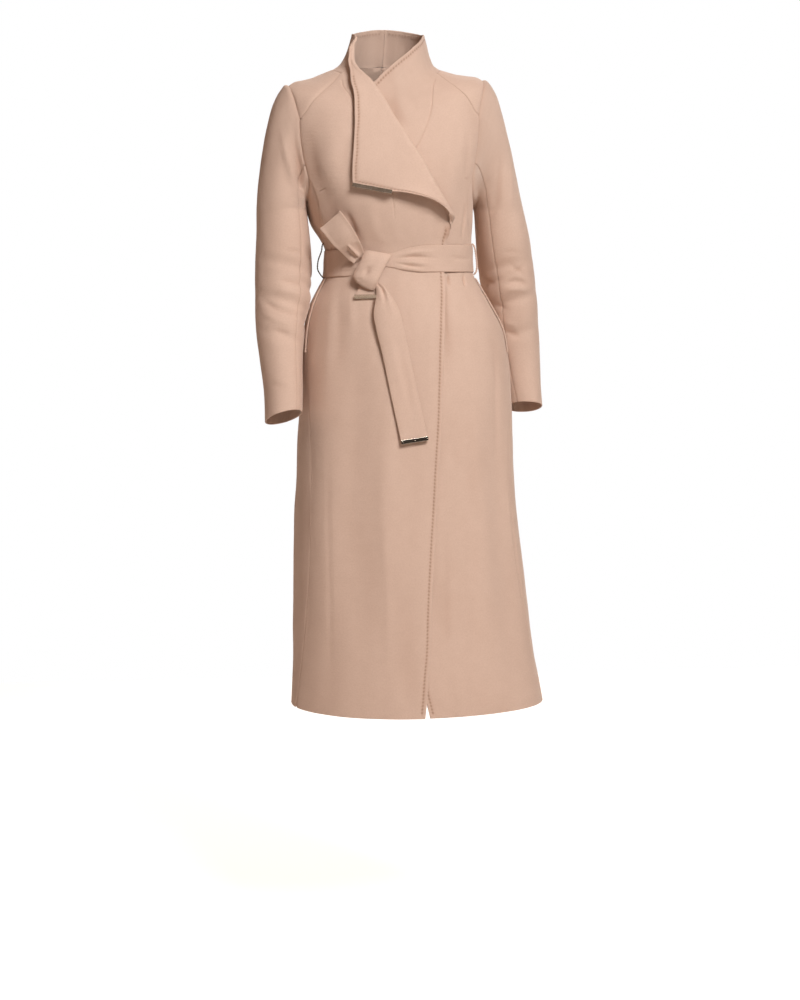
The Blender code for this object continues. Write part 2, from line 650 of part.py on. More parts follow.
def sleeve_ring_point(read, z, turn, sign):
    x, y, half_width, half_depth, tilt, roll = read(z)
    bend = 2 * math.pi * turn
    c, s = math.cos(bend), math.sin(bend)
    radius = ((abs(c) / half_width)**SLEEVE_SQUARENESS
              + (abs(s) / half_depth)**SLEEVE_SQUARENESS)**(-1 / SLEEVE_SQUARENESS)
    dx, dy = sign * radius * c, -radius * s
    return Vector((x + dx, y + dy, z - tilt * dy + roll * dx))


def sleeve_surface(sign):
    """A function of the place round the sleeve and down it: 0 to 1 the head, 1 to 2 the arm."""
    table = SLEEVE_LEFT if sign > 0 else SLEEVE_RIGHT
    rows = sorted(table)
    read = hermite_table(rows)
    first, last = table[0][0], table[-1][0]
    loop = armhole_loop(sign)

    def point(turn, down):
        turn %= 1.0
        if down >= 1:
            place = sleeve_ring_point(read, first + (last - first) * (down - 1), turn, sign)
            centre = Vector((*read(place.z)[:2], place.z))
            for crease_down, crease_turn, length, width, depth in SLEEVE_CREASES:
                gap = (turn - crease_turn + 0.5) % 1.0 - 0.5
                near = math.exp(-(gap / length)**2 - ((down - 1 - crease_down - gap * 0.25) / width)**2)
                place -= (place - centre).normalized() * depth * near
            return place
        start = armhole_point(loop, sign, turn)
        end = sleeve_ring_point(read, first, turn, sign)
        drop = (end - start).length
        outward = Vector((sign, 0.0, 0.02)).normalized() * CAP_OUT * drop
        below = sleeve_ring_point(read, first - 0.01, turn, sign) - end
        downward = below.normalized() * drop * 1.15
        t = down
        return ((2 * t**3 - 3 * t**2 + 1) * start + (t**3 - 2 * t**2 + t) * outward
                + (3 * t**2 - 2 * t**3) * end + (t**3 - t**2) * downward)
    return point


def surface_normal(point, turn, down, sign):
    step = 1e-3
    low, high = max(0.0, down - step), min(2.0, down + step)
    around = point(turn + step, down) - point(turn - step, down)
    along = point(turn, high) - point(turn, low)
    return around.cross(along).normalized() * sign


def sleeve_half(name, sign, start, end):
    point = sleeve_surface(sign)
    seams = [turn for turn in armhole_turns(sign) if start - 1e-6 < turn < end + 1e-6]
    trim = SEAM_GAP / SLEEVE_GIRTH
    turns = [seams[0] + trim] + seams[1:-1] + [seams[-1] - trim]
    count = len(turns) - 1
    downs = list(np.linspace(0.0, 1.0, CAP_ROWS + 1)) + list(np.linspace(1.0, 2.0, ARM_ROWS + 1)[1:])
    points, normals, faces = [], [], []
    for down in downs:
        for turn, square in zip(turns, seams):
            points.append(point(float(turn), float(down)))
            normals.append(surface_normal(point, float(square), float(down), sign))
    wide = count + 1
    for i in range(len(downs) - 1):
        for k in range(count):
            face = (i * wide + k, i * wide + k + 1, (i + 1) * wide + k + 1, (i + 1) * wide + k)
            faces.append(face if sign > 0 else tuple(reversed(face)))
    return wall_object(name, points, normals, faces)


BELT_LINE = (
    # angle, up, half_width, out
    (-24.0, 0.8010, 0.0105, 0.0058),
    (-14.0, 0.8015, 0.0125, 0.0058),
    (-2.0, 0.8030, 0.0190, 0.0058),
    (12.0, 0.8045, 0.0236, 0.0058),
    (30.0, 0.8055, 0.0243, 0.0058),
    (48.0, 0.8060, 0.0243, 0.0050),
    (70.0, 0.8070, 0.0243, 0.0027),
    (110.0, 0.8050, 0.0243, 0.0024),
    (180.0, 0.8000, 0.0243, 0.0024),
    (250.0, 0.7970, 0.0243, 0.0024),
    (285.0, 0.7970, 0.0243, 0.0030),
    (300.0, 0.7972, 0.0243, 0.0050),
    (313.0, 0.7975, 0.0235, 0.0058),
    (321.0, 0.7978, 0.0180, 0.0058),
)
BELT_STEP = 9.0            # degrees between the waist band's cross-sections
BELT_ACROSS = 4            # faces across the waist band

# Loose stretches of the belt as they show from the front: both edges of each cross-section
# and how far its middle stands out from the body surface.
KNOT_ROWS = (
    # left_x, left_z, right_x, right_z, out, crown
    (-0.0540, -0.3425, -0.0110, -0.3505, 0.0096, 0.0000),
    (-0.0551, -0.3405, -0.0092, -0.3486, 0.0145, 0.0010),
    (-0.0609, -0.3519, -0.0149, -0.3590, 0.0220, 0.0020),
    (-0.0688, -0.3671, -0.0236, -0.3755, 0.0250, 0.0025),
    (-0.0769, -0.3848, -0.0334, -0.3940, 0.0238, 0.0025),
    (-0.0729, -0.3961, -0.0374, -0.4054, 0.0190, 0.0020),
    (-0.0642, -0.4030, -0.0407, -0.4125, 0.0135, 0.0010),
    (-0.0630, -0.4010, -0.0415, -0.4095, 0.0090, 0.0000),
)
LOOP_ROWS = (
    (-0.0728, -0.3640, -0.0560, -0.3460, 0.0146, 0.0000),
    (-0.0860, -0.3535, -0.0607, -0.3337, 0.0180, 0.0020),
    (-0.0985, -0.3420, -0.0664, -0.3226, 0.0250, 0.0025),
    (-0.1102, -0.3325, -0.0730, -0.3119, 0.0315, 0.0020),
    (-0.1200, -0.3206, -0.0831, -0.2962, 0.0375, 0.0010),
    (-0.1318, -0.3058, -0.0978, -0.2763, 0.0425, 0.0000),
    (-0.1326, -0.3049, -0.0986, -0.2754, 0.0395, 0.0000),
    (-0.1300, -0.3078, -0.0960, -0.2786, 0.0355, 0.0000),
    (-0.1190, -0.3200, -0.0835, -0.2962, 0.0300, 0.0000),
    (-0.1080, -0.3315, -0.0735, -0.3130, 0.0240, 0.0000),
    (-0.0960, -0.3425, -0.0670, -0.3240, 0.0175, 0.0000),
)
TAIL_ROWS = (
    (-0.0440, -0.3930, -0.0345, -0.3900, 0.0120, 0.0000),
    (-0.0394, -0.4005, -0.0290, -0.3985, 0.0140, 0.0000),
    (-0.0375, -0.4066, -0.0206, -0.4066, 0.0165, 0.0010),
    (-0.0385, -0.4223, -0.0092, -0.4214, 0.0185, 0.0025),
    (-0.0430, -0.4517, 0.0036, -0.4482, 0.0175, 0.0025),
    (-0.0374, -0.4846, 0.0110, -0.4811, 0.0150, 0.0015),
    (-0.0294, -0.5175, 0.0183, -0.5141, 0.0130, 0.0010),
    (-0.0222, -0.5522, 0.0253, -0.5480, 0.0120, 0.0005),
    (-0.0149, -0.5868, 0.0323, -0.5818, 0.0115, 0.0000),
    (-0.0087, -0.6155, 0.0387, -0.6100, 0.0118, 0.0000),
    (-0.0025, -0.6441, 0.0450, -0.6383, 0.0122, 0.0000),
    (0.0038, -0.6732, 0.0516, -0.6664, 0.0130, 0.0000),
)
SHORT_END_ROWS = (
    (-0.0600, -0.3950, -0.0300, -0.3985, 0.0085, 0.0000),
    (-0.0640, -0.4030, -0.0275, -0.4060, 0.0088, 0.0000),
    (-0.0684, -0.4110, -0.0235, -0.4126, 0.0090, 0.0000),
    (-0.0734, -0.4205, -0.0255, -0.4196, 0.0095, 0.0000),
)
STRIP_ACROSS = 4

BAR_HEIGHT = 0.0070
BAR_THICKNESS = 0.0050
BAR_SLOT = 0.0022          # how far the bar grips the cloth's edge
BAR_CLEARANCE = 0.0004     # between the cloth and the slot on each side
BAR_BEVEL = 0.0004

# Height up the cloth and width of the welt that shows behind its slanted opening.
POCKET_WELT = ((0.640, 0.0025), (0.662, 0.0060), (0.690, 0.0090), (0.715, 0.0098),
               (0.740, 0.0080), (0.760, 0.0050), (0.772, 0.0030))

CARRIER_RADIUS = 0.0011
# Height up the cloth and distance out from it, along the thread that holds the belt.
CARRIER_LINE = ((0.836, 0.0004), (0.8335, 0.0050), (0.827, 0.0090), (0.812, 0.0122),
                (0.797, 0.0126), (0.782, 0.0112), (0.771, 0.0080), (0.765, 0.0040), (0.764, 0.0004))
CARRIER_ANGLE = math.radians(83)
CARRIER_SIDES = 6


def sheet(name, grid, flip=False):
    """A wall over a grid of points, its outer side towards the viewer of the grid."""
    wide = len(grid[0])
    points = [point for line in grid for point in line]
    faces = []
    for i in range(len(grid) - 1):
        for k in range(wide - 1):
            face = (i * wide + k, (i + 1) * wide + k, (i + 1) * wide + k + 1, i * wide + k + 1)
            faces.append(tuple(reversed(face)) if flip else face)
    return wall_object(name, points, point_normals(points, faces), faces)


def strip_grid(rows, across=STRIP_ACROSS):
    grid = []
    for left_x, left_z, right_x, right_z, out, crown in rows:
        line = []
        for k in range(across + 1):
            share = k / across
            bulge = crown * (1 - (2 * share - 1)**2)
            x = left_x + (right_x - left_x) * share
            z = left_z + (right_z - left_z) * share
            line.append(front_point(x, z, out + bulge))
        grid.append(line)
    return grid


def belt_waist():
    read = hermite_table(BELT_LINE)
    first, last = BELT_LINE[0][0], BELT_LINE[-1][0]
    grid = []
    for degrees in np.linspace(first, last, round((last - first) / BELT_STEP) + 1):
        up, half_width, out = read(degrees)
        angle = math.radians(degrees)
        line = []
        for k in range(BELT_ACROSS + 1):
            height = up + half_width * (1 - 2 * k / BELT_ACROSS)
            line.append(body_point(angle, height, out))
        grid.append(line)
    return sheet("belt_waist", grid)


def bar(name, start, end, towards_cloth, facing):
    """A plain metal channel that grips the cloth's edge between two points."""
    along = (end - start).normalized()
    up = (towards_cloth - towards_cloth.dot(along) * along).normalized()
    out = along.cross(up).normalized()
    if out.dot(facing) < 0:
        out = -out
    slot = WALL / 2 + BAR_CLEARANCE
    half = BAR_THICKNESS / 2
    profile = ((-half, BAR_SLOT), (-slot, BAR_SLOT), (-slot, -SEAM_GAP), (slot, -SEAM_GAP),
               (slot, BAR_SLOT), (half, BAR_SLOT), (half, BAR_SLOT - BAR_HEIGHT),
               (-half, BAR_SLOT - BAR_HEIGHT))
    middle_shift = -WALL / 2 * out
    mesh = bmesh.new()
    rings = []
    for point in (start, end):
        rings.append([mesh.verts.new(point + middle_shift + out * a + up * b) for a, b in profile])
    count = len(profile)
    for k in range(count):
        n = (k + 1) % count
        mesh.faces.new((rings[0][k], rings[0][n], rings[1][n], rings[1][k]))
    for ring in rings:
        mesh.faces.new(ring)
    bmesh.ops.recalc_face_normals(mesh, faces=mesh.faces)
    thing = finished_object(name, mesh, METAL)
    bevel = thing.modifiers.new("edge", "BEVEL")
    bevel.width = BAR_BEVEL
    bevel.segments = 1
    bevel.limit_method = "ANGLE"
    return thing


def end_bar(name, grid):
    """A bar on the last row of a strip."""
    last, before = grid[-1], grid[-2]
    towards = (before[len(before) // 2] - last[len(last) // 2]).normalized()
    facing = (last[-1] - last[0]).cross(before[0] - last[0]).normalized()
    return bar(name, last[0], last[-1], towards, facing)


def straight_end(grid):
    """The last row of a strip made straight, so that a bar can grip it."""
    last = grid[-1]
    start, end = last[0].copy(), last[-1].copy()
    for k in range(len(last)):
        last[k] = start.lerp(end, k / (len(last) - 1))
    return grid


def pocket_welt(name, sign):
    read = hermite_table([(up, angle) for angle, up in SIDE_SEAM])
    grid = []
    for up, width in POCKET_WELT:
        edge = math.radians(read(up)[0])
        across = stretch(edge, up)[0] * GIRTH_RADIUS
        line = []
        for k in range(3):
            angle = edge + width * (k / 2) / across
            line.append(body_point(sign * angle, up, WALL + LAYER_GAP))
        grid.append(line)
    return sheet(name, grid, flip=sign > 0)


def belt_carrier(name, sign):
    line = smooth_curve(CARRIER_LINE, 0.004)
    angle = CARRIER_ANGLE * sign
    points = [body_point(angle, up, out) for up, out in line]
    side_way = body_normal(angle, 0.8).cross(Vector((0, 0, 1))).normalized()
    mesh = bmesh.new()
    rings = []
    for i, point in enumerate(points):
        ahead = (points[min(i + 1, len(points) - 1)] - points[max(i - 1, 0)]).normalized()
        other = side_way.cross(ahead).normalized()
        ring = []
        for k in range(CARRIER_SIDES):
            bend = 2 * math.pi * k / CARRIER_SIDES
            ring.append(mesh.verts.new(point + CARRIER_RADIUS * (math.cos(bend) * side_way
                                                                 + math.sin(bend) * other)))
        rings.append(ring)
    for a, b in zip(rings, rings[1:]):
        for k in range(CARRIER_SIDES):
            n = (k + 1) % CARRIER_SIDES
            mesh.faces.new((a[k], a[n], b[n], b[k]))
    mesh.faces.new(rings[0])
    mesh.faces.new(rings[-1])
    bmesh.ops.recalc_face_normals(mesh, faces=mesh.faces)
    return finished_object(name, mesh, WOOL)


def belt():
    belt_waist()
    sheet("belt_knot", strip_grid(KNOT_ROWS))
    sheet("belt_loop", strip_grid(LOOP_ROWS), flip=True)
    tail = straight_end(strip_grid(TAIL_ROWS))
    sheet("belt_long_tail", tail)
    end_bar("tail_bar", tail)
    short_end = straight_end(strip_grid(SHORT_END_ROWS))
    sheet("belt_short_end", short_end)
    end_bar("short_end_bar", short_end)


def lapel_bar(grid):
    corner = LAPEL_ROWS[0]
    inner = corner + LAPEL_ROWS[1]
    start, end = grid[corner][-1], grid[inner][-1]
    middle = (corner + inner) // 2
    towards = (grid[middle][-2] - grid[middle][-1]).normalized()
    across = (end - start).normalized()
    return bar("lapel_bar", start, end, towards, towards.cross(across))


def build():
    for old in list(bpy.data.objects):
        bpy.data.objects.remove(old, do_unlink=True)
    front_left()
    right, lapel = front_right()
    lapel_bar(lapel)
    for label, sign in (("left", 1), ("right", -1)):
        back(f"back_{label}", sign)
        yoke(f"yoke_{label}", sign)
        front_seam, back_seam = (nearest_turn(sign, turn) for turn in SEAM_TURNS)
        sleeve_half(f"sleeve_{label}_top", sign, back_seam - 1, front_seam)
        sleeve_half(f"sleeve_{label}_under", sign, front_seam, back_seam)
        pocket_welt(f"pocket_welt_{label}", sign)
        belt_carrier(f"belt_carrier_{label}", sign)
    belt()


if __name__ == "__main__":
    build()
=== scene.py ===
import math

import bpy
import numpy as np
from mathutils import Matrix, Vector
from mathutils.geometry import delaunay_2d_cdt
from mathutils.kdtree import KDTree


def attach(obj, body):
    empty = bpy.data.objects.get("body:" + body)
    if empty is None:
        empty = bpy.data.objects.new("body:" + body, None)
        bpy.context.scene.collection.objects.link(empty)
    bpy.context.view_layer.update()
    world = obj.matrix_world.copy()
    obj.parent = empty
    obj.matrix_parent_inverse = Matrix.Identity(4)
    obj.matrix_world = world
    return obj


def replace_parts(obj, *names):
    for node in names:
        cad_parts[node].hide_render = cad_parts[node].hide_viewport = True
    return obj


print("Loading the coat's frame")
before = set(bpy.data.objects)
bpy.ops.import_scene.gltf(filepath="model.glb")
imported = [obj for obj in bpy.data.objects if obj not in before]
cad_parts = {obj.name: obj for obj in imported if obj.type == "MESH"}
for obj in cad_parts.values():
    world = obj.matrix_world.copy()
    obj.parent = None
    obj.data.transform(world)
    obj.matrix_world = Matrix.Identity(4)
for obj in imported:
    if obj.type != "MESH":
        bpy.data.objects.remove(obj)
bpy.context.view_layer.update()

cloth = {
    "wall": 0.0022,          # double-faced wool
    "seamGap": 0.00004,      # between two pieces at a seam, drawn tight
    "layerGap": 0.0014,      # between two pieces that lie on each other
    "girth": 0.15,           # radius that turns an angle round the body into a length
    "step": 0.0044,          # spacing of points inside a panel, half of it near creases
    "seamStep": 0.0035,      # spacing of points along a seam
    "rings": (0.0004, 0.0011, 0.0024, 0.0044, 0.0070, 0.0096),  # rows of points inside an edge
    "seamSink": 0.0005,      # how far the cloth dips at a seam
    "seamWidth": 0.0026,
    "seamShadeWidth": 0.0012,      # width of the painted shade along it
    "seamRound": 0.00050,    # a seam's edge turns in tighter than a free edge
    "seamCalm": 0.0065,      # how far from a seam its folds reach their full height
    "ripple": 0.0006,        # height of the faint unevenness all over
    "waves": (0.16, 0.11, 0.075, 0.05, 0.034),    # and its lengths
    "narrow": 2.5,           # creases narrower than this, in millimetres, get rows of their own
    "creaseRows": (-0.0036, -0.0020, -0.0009, 0.0, 0.0009, 0.0020, 0.0036),
    "creaseReach": 0.0046,   # how far the rows clear the even points away
    "shoulder": 0.25,        # height of the low shoulders beside a crease, as a share of it
    "shoulderWidth": 2.1,    # their width, as a share of its width
}
pick = {                     # the hand stitches along the finished edges
    "inset": 0.0070,
    "pitch": 0.0063,
    "length": 0.0028,
    "radius": 0.00045,
    "flatness": 1.2,         # width of a stitch against its height
    "dive": 0.00055,         # how far its ends dip into the cloth
    "around": 6,             # points round it
    "rings": 5,              # rings along it
    "groove": 0.00045,
    "grooveWidth": 0.0020,
    # grooveShade and shade: painted shade in the stitch groove and in the bites
    "grooveShade": 0.42,
    "dimple": 0.00065,
    "dimpleWidth": 0.0017,
    "shade": 1.35,
    "reach": 0.004,          # how far from the row its marks are worked out
}
kinds = {"seam": 0, "stitched": 1, "roll": 2, "plain": 3}


def smoothTable(rows):       # reads a table's columns smoothly at any value of its first column
    data = np.array(rows, float)
    key, columns = data[:, 0], data[:, 1:]
    slopes = np.gradient(columns, key, axis=0)

    def read(value):
        value = np.asarray(value, float)
        i = np.clip(np.searchsorted(key, value) - 1, 0, len(key) - 2)
        step = np.asarray(key[i + 1] - key[i])[..., None]
        t = np.asarray(value - key[i])[..., None] / step
        return ((2 * t**3 - 3 * t**2 + 1) * columns[i] + (t**3 - 2 * t**2 + t) * slopes[i] * step
                + (3 * t**2 - 2 * t**3) * columns[i + 1] + (t**3 - t**2) * slopes[i + 1] * step)
    return read


def smoothStep(value, low, high):
    t = np.clip((value - low) / (high - low), 0.0, 1.0)
    return t * t * (3 - 2 * t)


def band(value, low, lowFull, highFull, high):    # rises to 1 and falls again
    return smoothStep(value, low, lowFull) * smoothStep(-value, -high, -highFull)


def unit(vectors):
    return vectors / np.maximum(np.linalg.norm(vectors, axis=-1, keepdims=True), 1e-12)


def lengthAlong(points):
    return np.concatenate(((0.0,), np.cumsum(np.linalg.norm(np.diff(points, axis=0), axis=1))))


def readAlong(points, stops):             # points of a run at given lengths along it
    length = lengthAlong(points)
    return np.stack([np.interp(stops, length, points[:, k]) for k in range(points.shape[1])], -1)


def atShare(points, share):
    return readAlong(points, np.asarray(share) * lengthAlong(points)[-1])


def smoothCurve(points, step):            # an even smooth curve through the given points
    data = np.array(points, float)
    key = np.concatenate(((0.0,), np.cumsum(np.sqrt(np.linalg.norm(np.diff(data, axis=0), axis=1)))))
    fine = smoothTable(np.column_stack((key, data)))(np.linspace(0.0, key[-1], 40 * len(points)))
    count = max(2, round(lengthAlong(fine)[-1] / step) + 1)
    return atShare(fine, np.linspace(0.0, 1.0, count))


bodyForm = {
    "rings": (
        # up, halfWidth, front, back, zSide, zFront, zBack, centreX, centreY, squareness, tilt
        (-0.020, 0.2330, 0.160, 0.168, -1.180, -1.180, -1.180, 0.0530, 0.000, 2.10, 0.000),
        (0.000, 0.2310, 0.159, 0.166, -1.160, -1.160, -1.160, 0.0520, 0.000, 2.10, 0.000),
        (0.100, 0.2195, 0.152, 0.160, -1.060, -1.060, -1.060, 0.0442, 0.000, 2.12, 0.000),
        (0.190, 0.2117, 0.147, 0.156, -0.970, -0.970, -0.970, 0.0390, 0.000, 2.15, 0.000),
        (0.308, 0.2042, 0.142, 0.153, -0.852, -0.852, -0.852, 0.0332, 0.000, 2.18, 0.000),
        (0.424, 0.1955, 0.137, 0.151, -0.736, -0.736, -0.736, 0.0298, 0.000, 2.20, 0.000),
        (0.547, 0.1912, 0.133, 0.150, -0.613, -0.613, -0.613, 0.0303, 0.000, 2.22, 0.000),
        (0.644, 0.1854, 0.128, 0.145, -0.516, -0.516, -0.516, 0.0280, 0.000, 2.22, 0.000),
        (0.680, 0.1795, 0.125, 0.140, -0.480, -0.480, -0.480, 0.0262, 0.000, 2.22, 0.000),
        (0.722, 0.1640, 0.118, 0.128, -0.438, -0.438, -0.438, 0.0205, 0.000, 2.22, 0.000),
        (0.755, 0.1465, 0.110, 0.112, -0.405, -0.405, -0.405, 0.0185, 0.000, 2.22, 0.000),
        (0.777, 0.1345, 0.1045, 0.098, -0.383, -0.383, -0.383, 0.0178, 0.000, 2.22, 0.000),
        (0.800, 0.1315, 0.1030, 0.094, -0.360, -0.360, -0.360, 0.0168, 0.000, 2.22, 0.000),
        (0.824, 0.1315, 0.1050, 0.094, -0.336, -0.336, -0.336, 0.0165, 0.000, 2.25, 0.000),
        (0.842, 0.1355, 0.1105, 0.096, -0.318, -0.318, -0.318, 0.0118, 0.000, 2.28, 0.000),
        (0.862, 0.1425, 0.1170, 0.100, -0.298, -0.298, -0.298, 0.0060, 0.000, 2.32, 0.000),
        (0.905, 0.1500, 0.1280, 0.108, -0.255, -0.255, -0.255, -0.0010, 0.000, 2.40, 0.005),
        (0.965, 0.1640, 0.1300, 0.114, -0.195, -0.205, -0.200, -0.0050, 0.002, 2.45, 0.015),
        (1.020, 0.1780, 0.1230, 0.116, -0.138, -0.165, -0.150, -0.0060, 0.004, 2.42, 0.022),
        (1.065, 0.1860, 0.1130, 0.113, -0.089, -0.130, -0.106, -0.0060, 0.005, 2.35, 0.032),
        (1.100, 0.1850, 0.1040, 0.106, -0.051, -0.107, -0.070, -0.0055, 0.006, 2.25, 0.038),
        (1.122, 0.1690, 0.0965, 0.095, -0.0385, -0.090, -0.046, -0.0050, 0.007, 2.15, 0.038),
        (1.150, 0.1380, 0.0900, 0.083, -0.0300, -0.073, -0.028, -0.0045, 0.008, 2.10, 0.034),
        (1.176, 0.1080, 0.0840, 0.0745, -0.0208, -0.057, -0.014, -0.0040, 0.008, 2.08, 0.019),
        (1.200, 0.0850, 0.0785, 0.0690, -0.0115, -0.041, 0.000, -0.0035, 0.008, 2.05, 0.000),
        (1.220, 0.0750, 0.0730, 0.0655, 0.0055, -0.024, 0.018, -0.0020, 0.007, 2.05, 0.000),
        (1.240, 0.0690, 0.0680, 0.0625, 0.0235, -0.006, 0.037, -0.0010, 0.006, 2.05, 0.000),
        (1.262, 0.0635, 0.0620, 0.0590, 0.0450, 0.014, 0.060, -0.0010, 0.004, 2.05, 0.000),
        (1.285, 0.0590, 0.0570, 0.0560, 0.0670, 0.034, 0.083, -0.0010, 0.002, 2.05, 0.000),
    ),
    "folds": (
        # angle, upLow, upHigh, width, depth: ridges (+) and hollows (-) that run up and down
        (-58, 0.10, 0.76, 9, 0.0030),
        (-38, 0.02, 0.74, 10, -0.0035),
        (-20, 0.30, 0.75, 9, 0.0030),
        (12, -0.05, 0.60, 9, -0.0025),
        (42, -0.05, 0.70, 8, 0.0035),
        (58, -0.05, 0.74, 8, -0.0040),
        (72, -0.05, 0.60, 8, 0.0030),
        (104, -0.05, 0.72, 9, 0.0035),
        (128, -0.05, 0.74, 10, -0.0040),
        (152, -0.05, 0.70, 10, 0.0035),
        (-152, -0.05, 0.71, 10, 0.0030),
        (-130, -0.05, 0.74, 10, -0.0040),
        (-106, -0.05, 0.72, 9, 0.0035),
        (-84, -0.05, 0.62, 8, -0.0025),
        (-50, 0.83, 0.97, 7, -0.0030),
        (52, 0.83, 0.98, 7, -0.0030),
    ),
    "foldEnd": 0.35,         # share of a fold's length that each of its ends takes to fade
    "beltBand": (0.770, 0.778, 0.830, 0.838),  # the cloth's creases fade out under the belt
    "beltCalm": 0.85,        # by this share
}
bodyRing = smoothTable(bodyForm["rings"])


def foldDepth(angle, up):
    total = 0.0
    for foldAngle, upLow, upHigh, width, depth in bodyForm["folds"]:
        turn = (np.degrees(angle) - foldAngle + 180) % 360 - 180
        reach = (upHigh - upLow) * bodyForm["foldEnd"]
        along = band(up, upLow, upLow + reach, upHigh - reach, upHigh)
        total = total + depth * along * np.exp(-(turn / width)**2)
    return total


def bodyBase(angle, up):                  # angle 0 is the front, a quarter turn the wearer's left
    angle, up = np.broadcast_arrays(np.asarray(angle, float), np.asarray(up, float))
    (halfWidth, front, back, zSide, zFront, zBack,
     centreX, centreY, squareness, tilt) = np.moveaxis(bodyRing(up), -1, 0)
    s, c = np.sin(angle), np.cos(angle)
    depth, zEnd = np.where(c > 0, front, back), np.where(c > 0, zFront, zBack)
    radius = ((abs(s) / halfWidth)**squareness + (abs(c) / depth)**squareness)**(-1 / squareness)
    z = zSide + (zEnd - zSide) * abs(c)**1.5 + tilt * radius * s
    return np.stack((centreX + radius * s, centreY - radius * c, z), -1)


def bodyFrame(angle, up):                 # the outward normal, and real metres per flat metre
    step = 1e-3
    across = bodyBase(angle + step, up) - bodyBase(angle - step, up)
    along = bodyBase(angle, up + step) - bodyBase(angle, up - step)
    metric = np.stack((np.linalg.norm(across, axis=-1) / (2 * step * cloth["girth"]),
                       np.linalg.norm(along, axis=-1) / (2 * step)), -1)
    return unit(np.cross(across, along)), metric


def bodyPoint(angle, up, out=0.0):
    out = np.asarray(out + foldDepth(angle, up))[..., None]
    return bodyBase(angle, up) + out * bodyFrame(angle, up)[0]


def bodyPlace(places):                    # flat places as angles and heights
    return places[:, 0] / cloth["girth"], places[:, 1]


def flatMetric(places):
    return bodyFrame(*bodyPlace(places))[1]


def frontPlace(x, z, out, step=1e-4):     # angle and height of the front points that show at x and z
    angle, up = np.arcsin(np.clip(x / 0.2, -0.95, 0.95)), z + 1.17
    for _ in range(25):
        here = bodyPoint(angle, up, out)
        turn = (bodyPoint(angle + step, up, out) - here) / step
        rise = (bodyPoint(angle, up + step, out) - here) / step
        missX, missZ = x - here[..., 0], z - here[..., 2]
        scale = turn[..., 0] * rise[..., 2] - turn[..., 2] * rise[..., 0]
        first = (missX * rise[..., 2] - missZ * rise[..., 0]) / scale
        second = (missZ * turn[..., 0] - missX * turn[..., 2]) / scale
        limit = np.minimum(1.0, 0.3 / np.maximum(np.maximum(abs(first), abs(second * 6)), 1e-9))
        angle, up = angle + first * limit, up + second * limit
    return angle, up


# Seams and edges: degrees round the body and metres up the cloth, for the wearer's left.
seams = {
    "overlapEdge": ((-2.5, 0.000), (-0.4, 0.033), (2.4, 0.079), (4.6, 0.112), (7.5, 0.191),
                    (12.0, 0.293), (16.3, 0.392), (19.2, 0.494), (21.6, 0.593), (25.4, 0.680),
                    (31.5, 0.732), (36.0, 0.776), (37.2, 0.810), (38.3, 0.834), (39.9, 0.846),
                    (41.0, 0.858)),
    "underlapTop": ((-42.7, 0.858), (-40.0, 0.950), (-35.5, 1.050), (-29.0, 1.140), (-22.3, 1.187)),
    "collarRim": ((-22.3, 1.187), (-12.6, 1.211), (5.6, 1.236), (32.9, 1.254), (69.0, 1.262)),
    "side": ((80.0, 0.006), (76.0, 0.080), (72.5, 0.160), (69.5, 0.250), (68.5, 0.330),
             (70.0, 0.450), (74.0, 0.550), (78.0, 0.641), (78.5, 0.680), (77.5, 0.720),
             (77.0, 0.773), (71.5, 0.820), (66.0, 0.864), (61.8, 0.898), (60.8, 0.922),
             (64.0, 0.953)),
    "armholeFront": ((64.0, 0.953), (65.2, 0.985), (65.9, 1.030), (66.3, 1.0565)),
    "armholeTop": ((66.3, 1.0565), (68.0, 1.069), (73.0, 1.0955), (81.0, 1.112), (90.0, 1.117),
                   (100.0, 1.111), (108.0, 1.095), (113.5, 1.075), (116.3, 1.056)),
    "armholeBack": ((116.3, 1.056), (117.5, 1.020), (117.0, 0.980), (113.5, 0.945), (106.0, 0.920),
                    (98.0, 0.908), (90.0, 0.904), (81.0, 0.906), (72.0, 0.916), (66.5, 0.934),
                    (64.0, 0.953)),
    "yokeFront": ((64.0, 1.186), (60.0, 1.160), (58.2, 1.130), (58.8, 1.103), (60.6, 1.085),
                  (63.5, 1.068), (66.3, 1.0565)),
    "yokeBack": ((118.0, 1.189), (122.0, 1.160), (123.5, 1.128), (122.6, 1.100), (120.0, 1.078),
                 (116.3, 1.056)),
    "neckOverYoke": ((64.0, 1.186), (90.0, 1.1875), (118.0, 1.189)),
    "neckBack": ((118.0, 1.189), (150.0, 1.191), (180.0, 1.192)),
    "collarTop": ((69.0, 1.262), (110.0, 1.262), (180.0, 1.262)),
    "hem": ((-180.0, 0.008), (-130.0, 0.006), (-89.0, 0.005), (-50.0, 0.000), (0.0, 0.000),
            (45.0, 0.003), (84.0, 0.0062), (130.0, 0.008), (180.0, 0.008)),
}
overlap = {
    "mirror": -1.7,          # degrees between the overlap edge and the mirrored underlap edge
    "lift": cloth["wall"] + 1.3 * cloth["layerGap"],
    "fade": (36.0, 1.0),     # degrees past the hidden edge where the lift starts and is full
    "curl": 0.0040,          # how far the free edge turns out between the lapel and the belt
    "curlWidth": 0.013,
    # painted shade where the free edge turns out
    "curlShade": 0.9,
    "radius": 0.13,          # of the cloth there
    "curlHeights": (0.833, 0.851, 0.861, 0.878),
    "curlEdge": ((37.2, 0.810), (38.3, 0.834), (39.9, 0.846), (41.0, 0.858), (41.7, 0.869),
                 (41.5, 0.879), (39.8, 0.890)),
}
underlapEdge = tuple((overlap["mirror"] - angle, up) for angle, up in seams["overlapEdge"])


def flat(points):
    return np.array([(math.radians(angle) * cloth["girth"], up) for angle, up in points])


def mirrored(points):
    return tuple((-angle, up) for angle, up in points)


def run(points, stitched=False):
    return smoothCurve(flat(points), pick["pitch"] / 4 if stitched else cloth["seamStep"])


